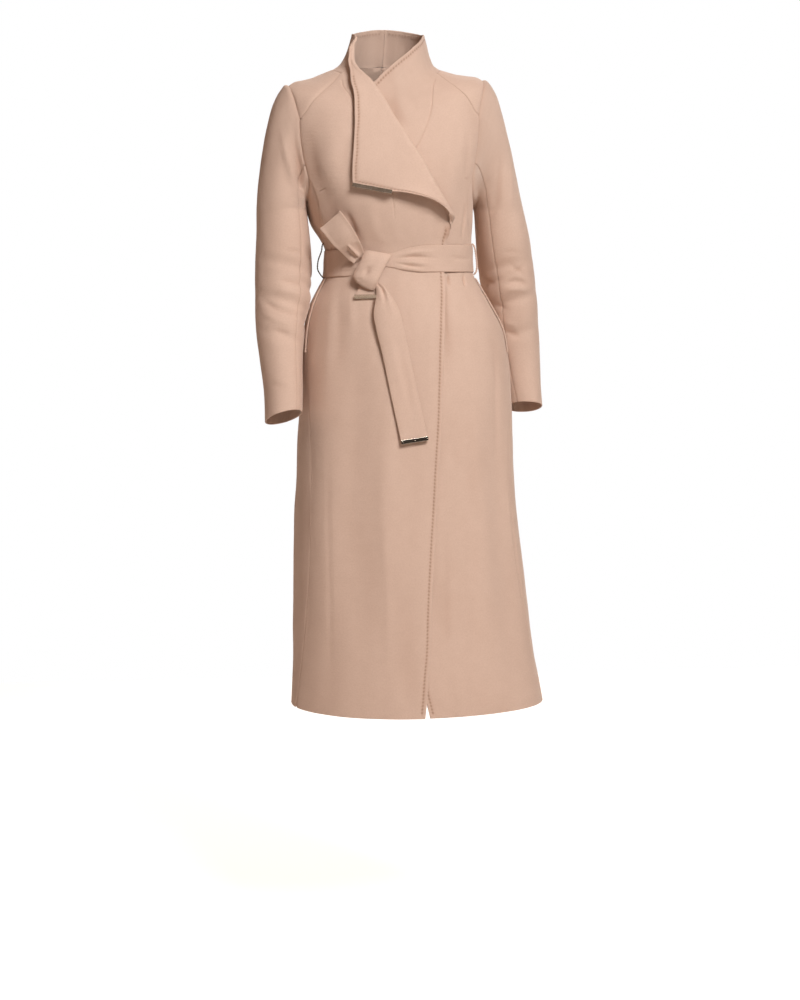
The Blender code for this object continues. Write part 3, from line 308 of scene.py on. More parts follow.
def hemRun(start, end):
    angles = np.linspace(start, end, 6)
    return tuple(zip(angles, smoothTable(seams["hem"])(angles)[:, 0]))


def edgeCurl(angle, up):                  # where the free edge turns out between the lapel and the belt
    free = np.array(overlap["curlEdge"])
    inside = np.radians(np.interp(up, free[:, 1], free[:, 0]) - np.degrees(angle)) * overlap["radius"]
    return np.clip(1 - inside / overlap["curlWidth"], 0, 1) * band(up, *overlap["curlHeights"])


def overlapLift(angle, up):               # how far the right front stands out over the left one
    edge = np.array(underlapEdge + seams["underlapTop"][1:])
    past = np.degrees(angle) - np.interp(up, edge[:, 1], edge[:, 0])
    lift = overlap["lift"] * smoothStep(past, -overlap["fade"][0], -overlap["fade"][1])
    return lift + overlap["curl"] * edgeCurl(angle, up)**2


def moved(places, direction, distance):   # flat places moved to the left of a direction
    metric = flatMetric(places)
    real = unit(direction * metric) * np.asarray(distance)[..., None]
    return places + np.stack((-real[:, 1] / metric[:, 0], real[:, 0] / metric[:, 1]), -1)


def inset(outline, distance):             # a closed outline moved inward by a real distance
    before = unit(outline - np.roll(outline, 1, 0))
    after = unit(np.roll(outline, -1, 0) - outline)
    miter = 1 / np.maximum(0.5, np.sqrt(np.maximum(0.0, (1 + (before * after).sum(1)) / 2)))
    return moved(outline, before + after, distance * miter)


def isInside(places, outline):
    start, end = outline, np.roll(outline, -1, 0)
    slope = (end[:, 0] - start[:, 0]) / np.where(end[:, 1] == start[:, 1], 1e-12, end[:, 1] - start[:, 1])
    found = []
    for part in np.array_split(places, max(1, len(places) // 1500)):
        x, y = part[:, :1], part[:, 1:]
        crosses = (start[:, 1] > y) != (end[:, 1] > y)
        found.append((crosses & (x < start[:, 0] + (y - start[:, 1]) * slope)).sum(1) % 2 == 1)
    return np.concatenate(found)


def distanceTo(places, starts, ends, metric):   # real distance to the nearest segment, and which
    near, which = [], []
    pieces = max(1, len(places) // 1500)
    for part, scale in zip(np.array_split(places, pieces), np.array_split(metric, pieces)):
        gapX = (part[:, :1] - starts[:, 0]) * scale[:, :1]
        gapY = (part[:, 1:] - starts[:, 1]) * scale[:, 1:]
        runX = (ends - starts)[:, 0] * scale[:, :1]
        runY = (ends - starts)[:, 1] * scale[:, 1:]
        share = np.clip((gapX * runX + gapY * runY) / np.maximum(runX**2 + runY**2, 1e-18), 0, 1)
        square = (gapX - share * runX)**2 + (gapY - share * runY)**2
        which.append(square.argmin(1))
        near.append(np.sqrt(square[np.arange(len(part)), which[-1]]))
    return np.concatenate(near), np.concatenate(which)


def creaseField(places, metric, creases):
    # Each crease has a depth and a width in millimetres, how far its ends taper as a share of its
    # length, and the places it runs through. Its hollow or ridge has low shoulders beside it.
    total = np.zeros(len(places))
    for depth, width, taper, line in creases:
        points = smoothCurve(line, 0.05 * lengthAlong(np.array(line, float))[-1])
        starts, ends = points[:-1], points[1:]
        box = 3.2 * width / 1000 / metric.min(0)          # the shape has faded out there
        near = ((places > points.min(0) - box) & (places < points.max(0) + box)).all(1)
        if not near.any():
            continue
        distance, which = distanceTo(places[near], starts, ends, metric[near])
        share = (which + 0.5) / len(starts)
        fade = band(share, -0.02, taper, 1 - taper, 1.02)
        across = distance / (width / 1000)
        shape = ((1 + cloth["shoulder"]) * np.exp(-across**2)
                 - cloth["shoulder"] * np.exp(-(across / cloth["shoulderWidth"])**2))
        total[near] += depth / 1000 * shape * fade
    return total


def ripple(u, v, seed):                   # faint unevenness, the same at every run
    random = np.random.RandomState(seed)
    total = np.zeros_like(u)
    for wave in cloth["waves"]:
        for _ in range(2):
            heading, phase = random.uniform(0, math.pi), random.uniform(0, 2 * math.pi)
            along = u * math.cos(heading) * 1.3 + v * math.sin(heading) * 0.7
            total += wave / cloth["waves"][0] * np.sin(2 * math.pi * along / wave + phase)
    return cloth["ripple"] * total / 1.6


class Strand:                # wraps one socket, so that shader maths reads as plain maths
    def __init__(self, finish, socket):
        self.finish, self.socket = finish, socket

    def maths(self, operation, first, second=0.0):
        return self.finish.add("ShaderNodeMath", {"operation": operation}, {0: first, 1: second})

    def __add__(self, other):
        return self.maths("ADD", self, other)

    __radd__ = __add__

    def __mul__(self, other):
        return self.maths("MULTIPLY", self, other)

    __rmul__ = __mul__

    def __pow__(self, other):
        return self.maths("POWER", self, other)

    def sine(self):
        return self.maths("SINE", self)

    def between(self, low, high):         # 0 below low, 1 above high
        return self.finish.add("ShaderNodeMapRange", {"interpolation_type": "SMOOTHSTEP"},
                               {"Value": self, "From Min": low, "From Max": high})


class Finish:                # one material: nodes are added by type, settings, then sockets
    def __init__(self, name, **constants):
        self.material = bpy.data.materials.new(name)
        self.material.use_nodes = True
        self.tree = self.material.node_tree
        self.shader = self.tree.nodes["Principled BSDF"]
        for socket, value in constants.items():
            self.shader.inputs[socket.replace("_", " ")].default_value = value

    def add(self, kind, settings=None, sockets=None, output=0):
        node = self.tree.nodes.new(kind)
        for key, value in (settings or {}).items():
            setattr(node, key, value)
        for key, value in (sockets or {}).items():
            self.plug(node.inputs[key], value)
        return Strand(self, node.outputs[output])

    def plug(self, socket, value):
        if isinstance(value, Strand):
            self.tree.links.new(value.socket, socket)
        else:
            socket.default_value = value

    def feed(self, **sockets):
        for socket, value in sockets.items():
            self.plug(self.shader.inputs[socket.replace("_", " ")], value)

    def clothPlace(self, scale=(1, 1, 1), turn=0.0):
        place = self.add("ShaderNodeUVMap", {"uv_map": "cloth"})
        return self.add("ShaderNodeMapping", {"vector_type": "POINT"},
                        {"Vector": place, "Scale": scale, "Rotation": (0, 0, turn)})

    def noise(self, place, scale, detail=2.0, roughness=0.5):
        return self.add("ShaderNodeTexNoise", {"noise_dimensions": "3D"},
                        {"Vector": place, "Scale": scale, "Detail": detail, "Roughness": roughness})

    def mix(self, share, first, second):
        return self.add("ShaderNodeMix", {"data_type": "RGBA"}, {0: share, 6: first, 7: second}, 2)

    def bump(self, height, strength, distance):
        return self.add("ShaderNodeBump", {}, {"Height": height, "Strength": strength,
                                               "Distance": distance})


woolFinish = {
    "light": (0.700, 0.512, 0.415, 1),
    "middle": (0.612, 0.428, 0.336, 1),
    # the painted shade colour, which the cloth turns towards where the sunk attribute marks shade
    "paintedShade": (0.380, 0.200, 0.130, 1),
    "rib": 0.00135,          # spacing of the twill's ribs
    "twillTurn": math.radians(52),
    "fibre": 850.0,          # scale of the felted fibres, per metre
    "fibreTurn": math.radians(38),
    "mottle": 55.0,
    "cloud": 9.0,
    "bump": 0.80,
    "height": 0.00060,
}


def makeWool(name, tone=1.0):             # felted fibres over a fine twill, with painted shade where it lies low; a tone under 1 gives a darker copy, used for painted shade
    look = woolFinish
    finish = Finish(name, Metallic=0.0, Sheen_Weight=0.30, Sheen_Roughness=0.45,
                    Sheen_Tint=(1.0, 0.90, 0.82, 1), Specular_IOR_Level=0.22)
    place = finish.clothPlace()
    twill = finish.clothPlace((1, 1, 1), look["twillTurn"])
    across = finish.add("ShaderNodeSeparateXYZ", {}, {"Vector": twill})
    fibres = finish.noise(finish.clothPlace((1, 0.35, 1), look["fibreTurn"]), look["fibre"], 3.0, 0.6)
    fuzz = finish.noise(place, look["fibre"] * 0.40, 4.0, 0.65)
    mottle = finish.noise(place, look["mottle"], 3.0, 0.55)
    cloud = finish.noise(place, look["cloud"], 2.0)
    rib = ((across * (2 * math.pi / look["rib"]) + fuzz * 3.0).sine() * 0.5 + 0.5) ** 0.8
    height = rib * 0.35 + fibres * 0.65 + fuzz * 0.5
    shade = (fibres.between(0.30, 0.72) * 0.30 + fuzz.between(0.32, 0.68) * 0.35 + rib * 0.10
             + mottle.between(0.30, 0.70) * 0.15 + cloud.between(0.30, 0.70) * 0.10)
    light, middle, paintedShade = (tuple(value * tone for value in look[name][:3]) + (1,)
                           for name in ("light", "middle", "paintedShade"))
    base = finish.mix(shade, middle, light)
    # The sunk attribute is painted shade for hollows, seam grooves, stitch bites and the curled edge; the
    # colour mixes towards the painted shade colour.
    sunk = finish.add("ShaderNodeAttribute", {"attribute_name": "sunk"}, output=2)
    colour = finish.mix(sunk * 0.55, base, paintedShade)
    finish.feed(Base_Color=colour, Roughness=0.80 + fibres * 0.15,
                Normal=finish.bump(height, look["bump"], look["height"]))
    return finish.material


def makeMetal(name):                      # polished, with faint brushing and smudges
    finish = Finish(name, Metallic=1.0)
    place = finish.add("ShaderNodeTexCoord", output=3)
    brushed = finish.noise(finish.add("ShaderNodeMapping", {"vector_type": "POINT"},
                                      {"Vector": place, "Scale": (60, 900, 900)}), 4.0, 3.0)
    smudge = finish.noise(place, 130.0, 3.0)
    colour = finish.mix(smudge.between(0.35, 0.70), (0.74, 0.67, 0.57, 1), (0.83, 0.77, 0.67, 1))
    finish.feed(Base_Color=colour, Roughness=0.10 + smudge * 0.08 + brushed * 0.05,
                Normal=finish.bump(brushed, 0.10, 0.00005))
    return finish.material


print("Mixing the wool and the metal")
wool = makeWool("wool")
# A darker copy of the wool for the stitches' thread: painted shade for the pits the stitches pull into the
# cloth.
shadedThreadWool = makeWool("wool_thread_painted_shade", 0.62)
# A much darker copy of the wool for the carrier thread on the wearer's right: painted shadow for the shade it
# lies in.
shadowThread = makeWool("thread_painted_shadow", 0.22)
metal = makeMetal("pale_gold_metal")


def makeMesh(name, points, faces, finish, maps=None, sunk=None):
    mesh = bpy.data.meshes.new(name)
    mesh.from_pydata(points.tolist(), [], faces)
    mesh.shade_smooth()
    mesh.materials.append(finish)
    corners = np.empty(len(mesh.loops), int)
    mesh.loops.foreach_get("vertex_index", corners)
    if maps is not None:
        mesh.uv_layers.new(name="cloth").uv.foreach_set("vector", maps[corners].astype(np.float32).ravel())
        # The sunk attribute carries painted shade.
        shade = mesh.attributes.new("sunk", "FLOAT", "POINT")
        shade.data.foreach_set("value", np.asarray(sunk if sunk is not None else
                                                   np.zeros(len(points))).astype(np.float32))
    piece = bpy.data.objects.new(name, mesh)
    bpy.context.collection.objects.link(piece)
    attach(piece, "root")
    return piece


def makeCloth(name, points, normals, faces, edge, rim, maps, sunk=None, tight=False):
    # A closed wall whose two sides round into each other at every rim point.
    wall, half = cloth["wall"], cloth["wall"] / 2
    reach = np.maximum(0, 1 - edge / np.where(tight, cloth["seamRound"], half))
    curve = half - half * np.sqrt(1 - np.minimum(1, reach)**2)
    curve = np.where(rim, half, curve)[:, None]
    outer, inner = points - normals * curve, points - normals * (wall - curve)
    faces = [face for face in faces if not all(rim[i] for i in face)]
    twin = np.where(rim, np.arange(len(points)), len(points) + np.cumsum(~rim) - 1)
    everything = np.concatenate((outer, inner[~rim]))
    both = faces + [tuple(twin[i] for i in reversed(face)) for face in faces]
    used = np.zeros(len(everything), bool)
    used[np.concatenate([np.array(face) for face in both])] = True
    index = np.cumsum(used) - 1
    both = [tuple(int(index[i]) for i in face) for face in both]
    allMaps = np.concatenate((maps, maps[~rim] + (0.5, 0.3)))
    shade = np.zeros(len(points)) if sunk is None else sunk
    # Painted shade, at half strength on the inner side.
    allSunk = np.concatenate((shade, shade[~rim] * 0.5))
    piece = makeMesh(name + "_cloth", everything[used], both, wool, allMaps[used], allSunk[used])
    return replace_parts(piece, name)


def tubeFaces(first, rings, around, capped=True):     # quads round a tube of rings, and its two ends
    last = first + (rings - 1) * around
    faces = [(a + k, a + (k + 1) % around, a + around + (k + 1) % around, a + around + k)
             for a in range(first, last, around) for k in range(around)]
    if capped:
        faces += [tuple(first + k for k in reversed(range(around))),
                  tuple(last + k for k in range(around))]
    return faces


def turned(faces):           # the same faces seen from the other side
    return [face[::-1] for face in faces]


def stitchRow(name, lines, side):
    # Small sunk threads along each line of (points, normals), on the side the normals point to.
    around, rings = pick["around"], pick["rings"]
    verts, faces = [], []
    for points, normals in lines:
        total = lengthAlong(points)[-1]
        stops = np.arange(pick["pitch"] / 2, total, pick["pitch"])
        middle = readAlong(points, stops)
        ahead = unit(readAlong(points, stops + 0.001) - readAlong(points, stops - 0.001))
        out = unit(np.stack([np.interp(stops, lengthAlong(points), normals[:, k]) for k in range(3)], -1))
        across = np.cross(out, ahead)
        for centre, tangent, normal, width in zip(middle, ahead, out, across):
            faces += tubeFaces(len(verts), rings, around)
            for share in (2 * (i + 0.5) / rings - 1 for i in range(rings)):
                size = pick["radius"] * math.sqrt(max(0.05, 1 - share**2))
                place = centre + tangent * share * pick["length"] / 2
                place = place + normal * (side - pick["dive"] * share**2)
                for bend in (2 * math.pi * k / around for k in range(around)):
                    verts.append(place + (width * math.cos(bend) * pick["flatness"]
                                          + normal * math.sin(bend)) * size)
    verts = np.array(verts)
    return makeMesh(name, verts, faces, shadedThreadWool, verts[:, [0, 2]], None)


# Soft creases on the panels: depth, width, taper, then degrees round the body and metres up.
panelCreases = {
    "right": (
        (-1.3, 1.5, 0.1, ((-58.5, 1.181), (-51.2, 1.157), (-43.4, 1.136), (-37.0, 1.115),
                          (-20.0, 1.020), (-3.8, 0.9215), (-3.8, 0.876))),
        (-1.3, 1.5, 0.3, ((-60.0, 0.918), (-51.1, 0.929))),
        (2.0, 19.0, 0.5, ((-49.0, 1.110), (-44.5, 1.010), (-45.5, 0.895))),
        (-2.6, 15.0, 0.5, ((-60.0, 1.060), (-57.5, 0.984), (-58.0, 0.905))),
        (-2.2, 5.5, 0.4, ((-38.7, 0.890), (-38.3, 0.863), (-40.1, 0.837))),
        (1.6, 7.0, 0.4, ((-44.5, 0.895), (-44.0, 0.866), (-46.5, 0.838))),
        (-1.7, 11.0, 0.5, ((-56.0, 0.785), (-54.5, 0.740), (-52.4, 0.700), (-51.8, 0.600))),
        (1.4, 12.0, 0.5, ((-62.0, 0.785), (-60.0, 0.700), (-58.5, 0.560))),
        (1.4, 9.0, 0.4, ((-45.5, 0.765), (-43.0, 0.660))),
        (-0.8, 5.5, 0.4, ((-57.6, 0.520), (-55.9, 0.277), (-56.7, 0.020))),
        (-0.8, 11.0, 0.5, ((-30.0, 0.785), (-27.0, 0.690), (-27.5, 0.560))),
        (-0.7, 9.0, 0.4, ((-4.0, 0.770), (-1.0, 0.660), (1.0, 0.560))),
        (0.8, 9.0, 0.4, ((16.0, 0.770), (12.0, 0.640), (8.0, 0.520))),
        (-0.8, 9.0, 0.4, ((-20.0, 0.836), (-17.0, 0.862), (-13.5, 0.895))),
        (-1.4, 11.0, 0.5, ((-31.0, 1.090), (-35.0, 1.010), (-37.0, 0.940))),
        (-1.2, 9.0, 0.4, ((-72.0, 0.600), (-70.0, 0.330), (-73.0, 0.100))),
        (1.1, 10.0, 0.4, ((-25.0, 0.480), (-22.0, 0.250), (-24.0, 0.030))),
    ),
    "left": (
        (-1.3, 1.5, 0.1, ((57.0, 1.180), (45.0, 1.155), (37.6, 1.114), (32.5, 1.083), (27.7, 1.058),
                          (22.7, 1.037), (17.9, 1.017), (8.0, 0.960))),
        (-1.3, 1.5, 0.3, ((63.0, 0.942), (54.0, 0.949))),
        (-2.2, 4.5, 0.4, ((59.0, 0.911), (58.3, 0.873), (56.2, 0.834))),
        (-5.5, 2.6, 0.3, ((42.4, 0.792), (41.2, 0.778), (38.0, 0.757))),
        (-5.5, 2.6, 0.3, ((59.5, 0.792), (57.6, 0.778), (53.0, 0.755))),
        (-1.8, 3.4, 0.35, ((39.4, 0.792), (33.6, 0.745), (28.4, 0.700), (24.6, 0.650))),
        (-2.6, 9.5, 0.45, ((40.0, 0.800), (34.0, 0.745), (28.6, 0.700), (23.0, 0.590))),
        (-1.7, 9.0, 0.5, ((57.0, 1.060), (55.0, 0.985), (56.0, 0.930))),
        (1.5, 9.0, 0.5, ((46.0, 1.080), (44.0, 1.000), (45.0, 0.930))),
        (-1.2, 8.0, 0.4, ((64.0, 0.700), (60.0, 0.560), (60.0, 0.420))),
        (1.0, 9.0, 0.4, ((38.0, 0.560), (33.0, 0.330), (30.0, 0.100))),
        (-3.2, 12.0, 0.4, ((-12.0, 1.168), (-3.0, 1.128), (5.0, 1.092), (13.0, 1.052))),
        (-1.0, 8.0, 0.4, ((24.0, 0.440), (19.0, 0.250), (15.0, 0.040))),
    ),
    "back": (
        (-0.8, 1.7, 0.25, ((150.0, 0.690), (151.5, 0.800), (149.0, 0.940))),
        (-2.2, 9.0, 0.4, ((120.0, 1.010), (133.0, 0.965), (146.0, 0.930))),
        (1.8, 9.0, 0.4, ((121.0, 0.975), (134.0, 0.930), (148.0, 0.900))),
        (-1.6, 8.0, 0.5, ((128.0, 1.110), (140.0, 1.080), (160.0, 1.060))),
        (-2.2, 5.0, 0.4, ((136.0, 0.834), (133.0, 0.860), (130.0, 0.905))),
        (-2.0, 4.5, 0.4, ((163.0, 0.834), (165.0, 0.862), (163.0, 0.900))),
        (1.6, 5.0, 0.4, ((110.0, 0.834), (106.0, 0.864), (104.0, 0.900))),
        (-2.4, 6.5, 0.4, ((142.0, 0.775), (139.0, 0.700), (138.0, 0.610))),
        (-2.0, 6.0, 0.4, ((112.0, 0.775), (110.0, 0.700), (111.0, 0.620))),
        (-1.9, 7.0, 0.4, ((163.0, 0.775), (166.0, 0.690), (167.0, 0.580))),
        (1.6, 7.0, 0.4, ((127.0, 0.770), (125.0, 0.680), (124.0, 0.590))),
        (-1.4, 7.0, 0.3, ((122.0, 0.460), (124.0, 0.250), (126.0, 0.030))),
        (-1.2, 9.0, 0.4, ((158.0, 0.440), (160.0, 0.240), (162.0, 0.040))),
        (1.1, 10.0, 0.4, ((100.0, 0.480), (98.0, 0.270), (97.0, 0.060))),
    ),
    "yoke": (
        (-1.0, 8.0, 0.4, ((78.0, 1.180), (92.0, 1.150), (104.0, 1.120))),
        (0.8, 8.0, 0.4, ((72.0, 1.140), (88.0, 1.130), (112.0, 1.150))),
    ),
}


def bodyCreases(creases):
    return [(depth, width, taper, flat(line)) for depth, width, taper, line in creases]


def clothOut(places, creases, seed, lift=None):       # how far a panel stands off the plain body
    angle, up = bodyPlace(places)
    out = creaseField(places, flatMetric(places), bodyCreases(creases)) + ripple(places[:, 0], up, seed)
    out = out * (1 - bodyForm["beltCalm"] * band(up, *bodyForm["beltBand"]))
    return out + lift(angle, up) if lift else out


def sharpRows(creases):      # rows of points along the narrow creases, such as darts
    rows = [np.zeros((0, 2))]
    for _, width, _, line in creases:
        if width < cloth["narrow"]:
            middle = smoothCurve(line, 0.003)
            for offset in cloth["creaseRows"]:
                rows.append(moved(middle, np.gradient(middle, axis=0), np.full(len(middle), offset)))
    return np.concatenate(rows)


def nearCreases(places, metric, creases, sharp):
    near = np.zeros(len(places), bool)
    for _, width, _, line in creases:
        if (width < cloth["narrow"]) != sharp:
            continue
        points = smoothCurve(line, 0.006)
        reach = cloth["creaseReach"] if sharp else 1.8 * width / 1000
        box = reach / metric.min(0)
        some = np.flatnonzero(((places > points.min(0) - box) & (places < points.max(0) + box)).all(1))
        if len(some):
            near[some] |= distanceTo(places[some], points[:-1], points[1:], metric[some])[0] < reach
    return near


def fillPanel(outline, free, kindsAlong, creases):
    # Points and triangles inside an outline: its own points, rows inside its edges, then a grid.
    metric = flatMetric(outline)
    isEdge = free | np.roll(free, -1)
    starts, ends = outline[isEdge], np.roll(outline, -1, 0)[isEdge]
    segmentKinds = kindsAlong[isEdge]
    places, kindOf = [outline], [kindsAlong]
    edges = [np.where(free, 0.0, distanceTo(outline, starts, ends, metric)[0])]
    for ring in cloth["rings"]:
        row = inset(outline, ring)[free]
        distance, which = distanceTo(row, starts, ends, flatMetric(row))
        good = (distance > 0.97 * ring) & isInside(row, outline)
        places.append(row[good])
        edges.append(distance[good])
        kindOf.append(segmentKinds[which[good]])
    low, high = outline.min(0), outline.max(0)
    half = cloth["step"] / 2
    narrow = sharpRows(creases)
    grid, coarse = [narrow], [np.full(len(narrow), True)]
    for i, up in enumerate(np.arange(low[1], high[1], half * 0.9)):
        columns = np.arange(low[0], high[0], half / metric[:, 0].mean())
        shift = half * 0.5 * (i % 4) / metric[:, 0].mean()
        grid.append(np.stack((columns + shift, np.full(len(columns), up)), -1))
        coarse.append((np.arange(len(columns)) % 2 == 0) & (i % 2 == 0))
    grid, coarse = np.concatenate(grid), np.concatenate(coarse)
    scale = flatMetric(grid)
    keep = coarse | nearCreases(grid, scale, creases, False)
    keep &= (np.arange(len(grid)) < len(narrow)) | ~nearCreases(grid, scale, creases, True)
    grid, scale = grid[keep], scale[keep]
    inside = isInside(grid, outline)
    grid, scale = grid[inside], scale[inside]
    distance, which = distanceTo(grid, starts, ends, scale)
    good = distance > cloth["rings"][-1] + 0.4 * cloth["step"]
    roll = outline[~free]
    if len(roll):
        good &= distanceTo(grid, roll[:-1], roll[1:], scale)[0] > 0.5 * cloth["step"]
    places.append(grid[good])
    edges.append(distance[good])
    kindOf.append(segmentKinds[which[good]])
    places, edges, kindOf = np.concatenate(places), np.concatenate(edges), np.concatenate(kindOf)
    found = delaunay_2d_cdt([Vector(place) for place in places], [], [list(range(len(outline)))], 1, 1e-7)
    source = np.array([ids[0] for ids in found[3]])
    triangles = source[np.array(found[2])]
    a, b, c = (places[triangles[:, k]] for k in range(3))
    turn = (b - a)[:, 0] * (c - a)[:, 1] - (b - a)[:, 1] * (c - a)[:, 0]
    triangles[turn < 0] = triangles[turn < 0][:, ::-1]
    return places, edges, kindOf, [tuple(face) for face in triangles[abs(turn) > 1e-14].tolist()]


def joinRuns(runs):          # one closed outline from (kind, places) runs
    outline = np.concatenate([places[:-1] for kind, places in runs])
    return outline, np.concatenate([np.full(len(places) - 1, kind) for kind, places in runs])


def stitchLines(runs, outline, out):
    # Lines one stitch inset inside the stitched runs, as points on the cloth and normals.
    lines = []
    for kind, places in runs:
        if kind != kinds["stitched"]:
            continue
        ahead = np.gradient(places, axis=0)
        line = moved(places, ahead, pick["inset"])
        distance = distanceTo(line, outline, np.roll(outline, -1, 0), flatMetric(line))[0]
        line = line[(distance > 0.95 * pick["inset"]) & isInside(line, outline)]
        if len(line) > 8:
            angle, up = bodyPlace(line)
            lines.append((bodyPoint(angle, up, out(line)), bodyFrame(angle, up)[0]))
    return lines


def nearestStitch(points, lines):
    centres = [readAlong(line, np.arange(pick["pitch"] / 2, lengthAlong(line)[-1], pick["pitch"]))
               for line, _ in lines]
    centres = np.concatenate(centres) if centres else np.zeros((0, 3))
    tree = KDTree(max(1, len(centres)))
    for i, centre in enumerate(centres):
        tree.insert(centre, i)
    tree.balance()
    if not len(centres):
        return np.full(len(points), 1.0)
    return np.array([tree.find(point)[2] for point in points])


def stitchMarks(near, edge, points, lines):
    # How deep the thread pulls the cloth in, and the painted shade of its groove and bites.
    groove, bite = np.zeros(len(points)), np.zeros(len(points))
    if near.any():
        groove[near] = np.exp(-((edge[near] - pick["inset"]) / pick["grooveWidth"])**2)
        bite[near] = np.exp(-(nearestStitch(points[near], lines) / pick["dimpleWidth"])**2)
    return (pick["groove"] * groove + pick["dimple"] * bite,
            pick["shade"] * bite + pick["grooveShade"] * groove)


def seamDepth(edge, kind):
    return np.where(kind == kinds["seam"], cloth["seamSink"] * np.exp(-(edge / cloth["seamWidth"])**2), 0.0)


def calmAtSeams(places, outline, kindsAlong):     # folds and unevenness fade where two pieces join
    joined = kindsAlong == kinds["seam"]
    ends = np.roll(outline, -1, 0)[joined]
    distance = distanceTo(places, outline[joined], ends, flatMetric(places))[0]
    return smoothStep(distance, 0.0, cloth["seamCalm"])


def seamShade(edge, depth):               # painted shade along a seam's groove, a little darker than the cloth beside it
    return depth * np.exp(-(edge / cloth["seamShadeWidth"])**2)


def layCloth(runs, outline, kindsAlong, free, creases, seed, lift=None):
    # A panel's points on the body, with its creases, and its seams and stitches drawn in.
    places, edge, kind, faces = fillPanel(outline, free, kindsAlong, bodyCreases(creases))
    angle, up = bodyPlace(places)
    calm = calmAtSeams(places, outline, kindsAlong)
    roll = outline[~free]
    if len(roll):                         # no creases where the lapel's turn begins
        distance = distanceTo(places, roll[:-1], roll[1:], flatMetric(places))[0]
        calm = calm * smoothStep(distance, 0.0, lapel["calm"])
    plain = lift(angle, up) if lift else 0.0
    level = (clothOut(places, creases, seed, lift) - plain) * calm
    points, normals = bodyPoint(angle, up, plain + level), bodyFrame(angle, up)[0]
    lines = stitchLines(runs, outline, lambda line: clothOut(line, creases, seed, lift))
    near = (kind == kinds["stitched"]) & (abs(edge - pick["inset"]) < pick["reach"])
    sunk, stitchShade = stitchMarks(near, edge, points, lines)
    sunk = sunk * (calm if len(roll) else 1.0) + seamDepth(edge, kind)
    seam = np.where(kind == kinds["seam"], seamShade(edge, 0.35), 0)
    # Painted shade: darker where the cloth lies below the plain body, along the seams and at the stitches.
    shade = np.clip(-level / 0.004, 0, 1) * 0.5 + seam + stitchShade
    return places, edge, kind, faces, points - normals * sunk[:, None], normals, shade, lines


def sewPanel(name, runs, creases, seed):
    outline, kindsAlong = joinRuns(runs)
    outline = inset(outline, cloth["seamGap"] / 2)
    free = np.ones(len(outline), bool)
    places, edge, kind, faces, points, normals, shade, lines = layCloth(
        runs, outline, kindsAlong, free, creases, seed)
    rim = np.arange(len(places)) < len(outline)
    piece = makeCloth(name, points, normals, faces, edge, rim, places, shade, kind == kinds["seam"])
    stitches = [stitchRow("stitches_" + name, lines, -pick["groove"])] if lines else []
    print(f"  {name}: {len(piece.data.polygons)} faces")


def seamRun(name, sign=1, back=False, kind="seam"):
    points = seams[name] if sign > 0 else mirrored(seams[name])
    places = run(points, kind == "stitched")
    return kinds[kind], places[::-1] if back else places


def sewFrontLeft():
    start, end = underlapEdge[0][0], seams["side"][0][0]
    middle = (seams["neckBack"][-1], seams["collarTop"][-1])
    runs = [
        (kinds["plain"], run(hemRun(start, end))), seamRun("side"), seamRun("armholeFront"),
        seamRun("yokeFront", back=True), seamRun("neckOverYoke"), seamRun("neckBack"),
        (kinds["seam"], run(middle)), seamRun("collarTop", back=True, kind="stitched"),
        seamRun("collarRim", back=True, kind="stitched"),
        seamRun("underlapTop", back=True, kind="stitched"),
        (kinds["stitched"], run(underlapEdge, True)[::-1])]
    sewPanel("front_left", runs, panelCreases["left"], 11)


def sewBack(name, sign):
    centre = (seams["neckBack"][-1], seams["hem"][-1])
    runs = [(kinds["plain"], run(hemRun(seams["side"][0][0] * sign, 180.0 * sign))),
            (kinds["seam"], run(centre if sign > 0 else mirrored(centre))[::-1]),
            seamRun("neckBack", sign, back=True), seamRun("yokeBack", sign),
            seamRun("armholeBack", sign), seamRun("side", sign, back=True)]
    if sign < 0:
        runs = [(kind, places[::-1]) for kind, places in reversed(runs)]
    creases = panelCreases["back"]
    if sign < 0:                          # the same creases on the other side, a little apart
        creases = [(depth * 0.9, width * 1.08, taper, [(-angle + 3.0, up - 0.006) for angle, up in line])
                   for depth, width, taper, line in creases]
    sewPanel(name, runs, creases, 21 + sign)


def sewYoke(name, sign):
    runs = [seamRun("yokeFront", sign), seamRun("armholeTop", sign),
            seamRun("yokeBack", sign, back=True), seamRun("neckOverYoke", sign, back=True)]
    if sign < 0:
        runs = [(kind, places[::-1]) for kind, places in reversed(runs)]
    creases = [(depth, width, taper, [(angle * sign, up) for angle, up in line])
               for depth, width, taper, line in panelCreases["yoke"]]
    sewPanel(name, runs, creases, 31 + sign)


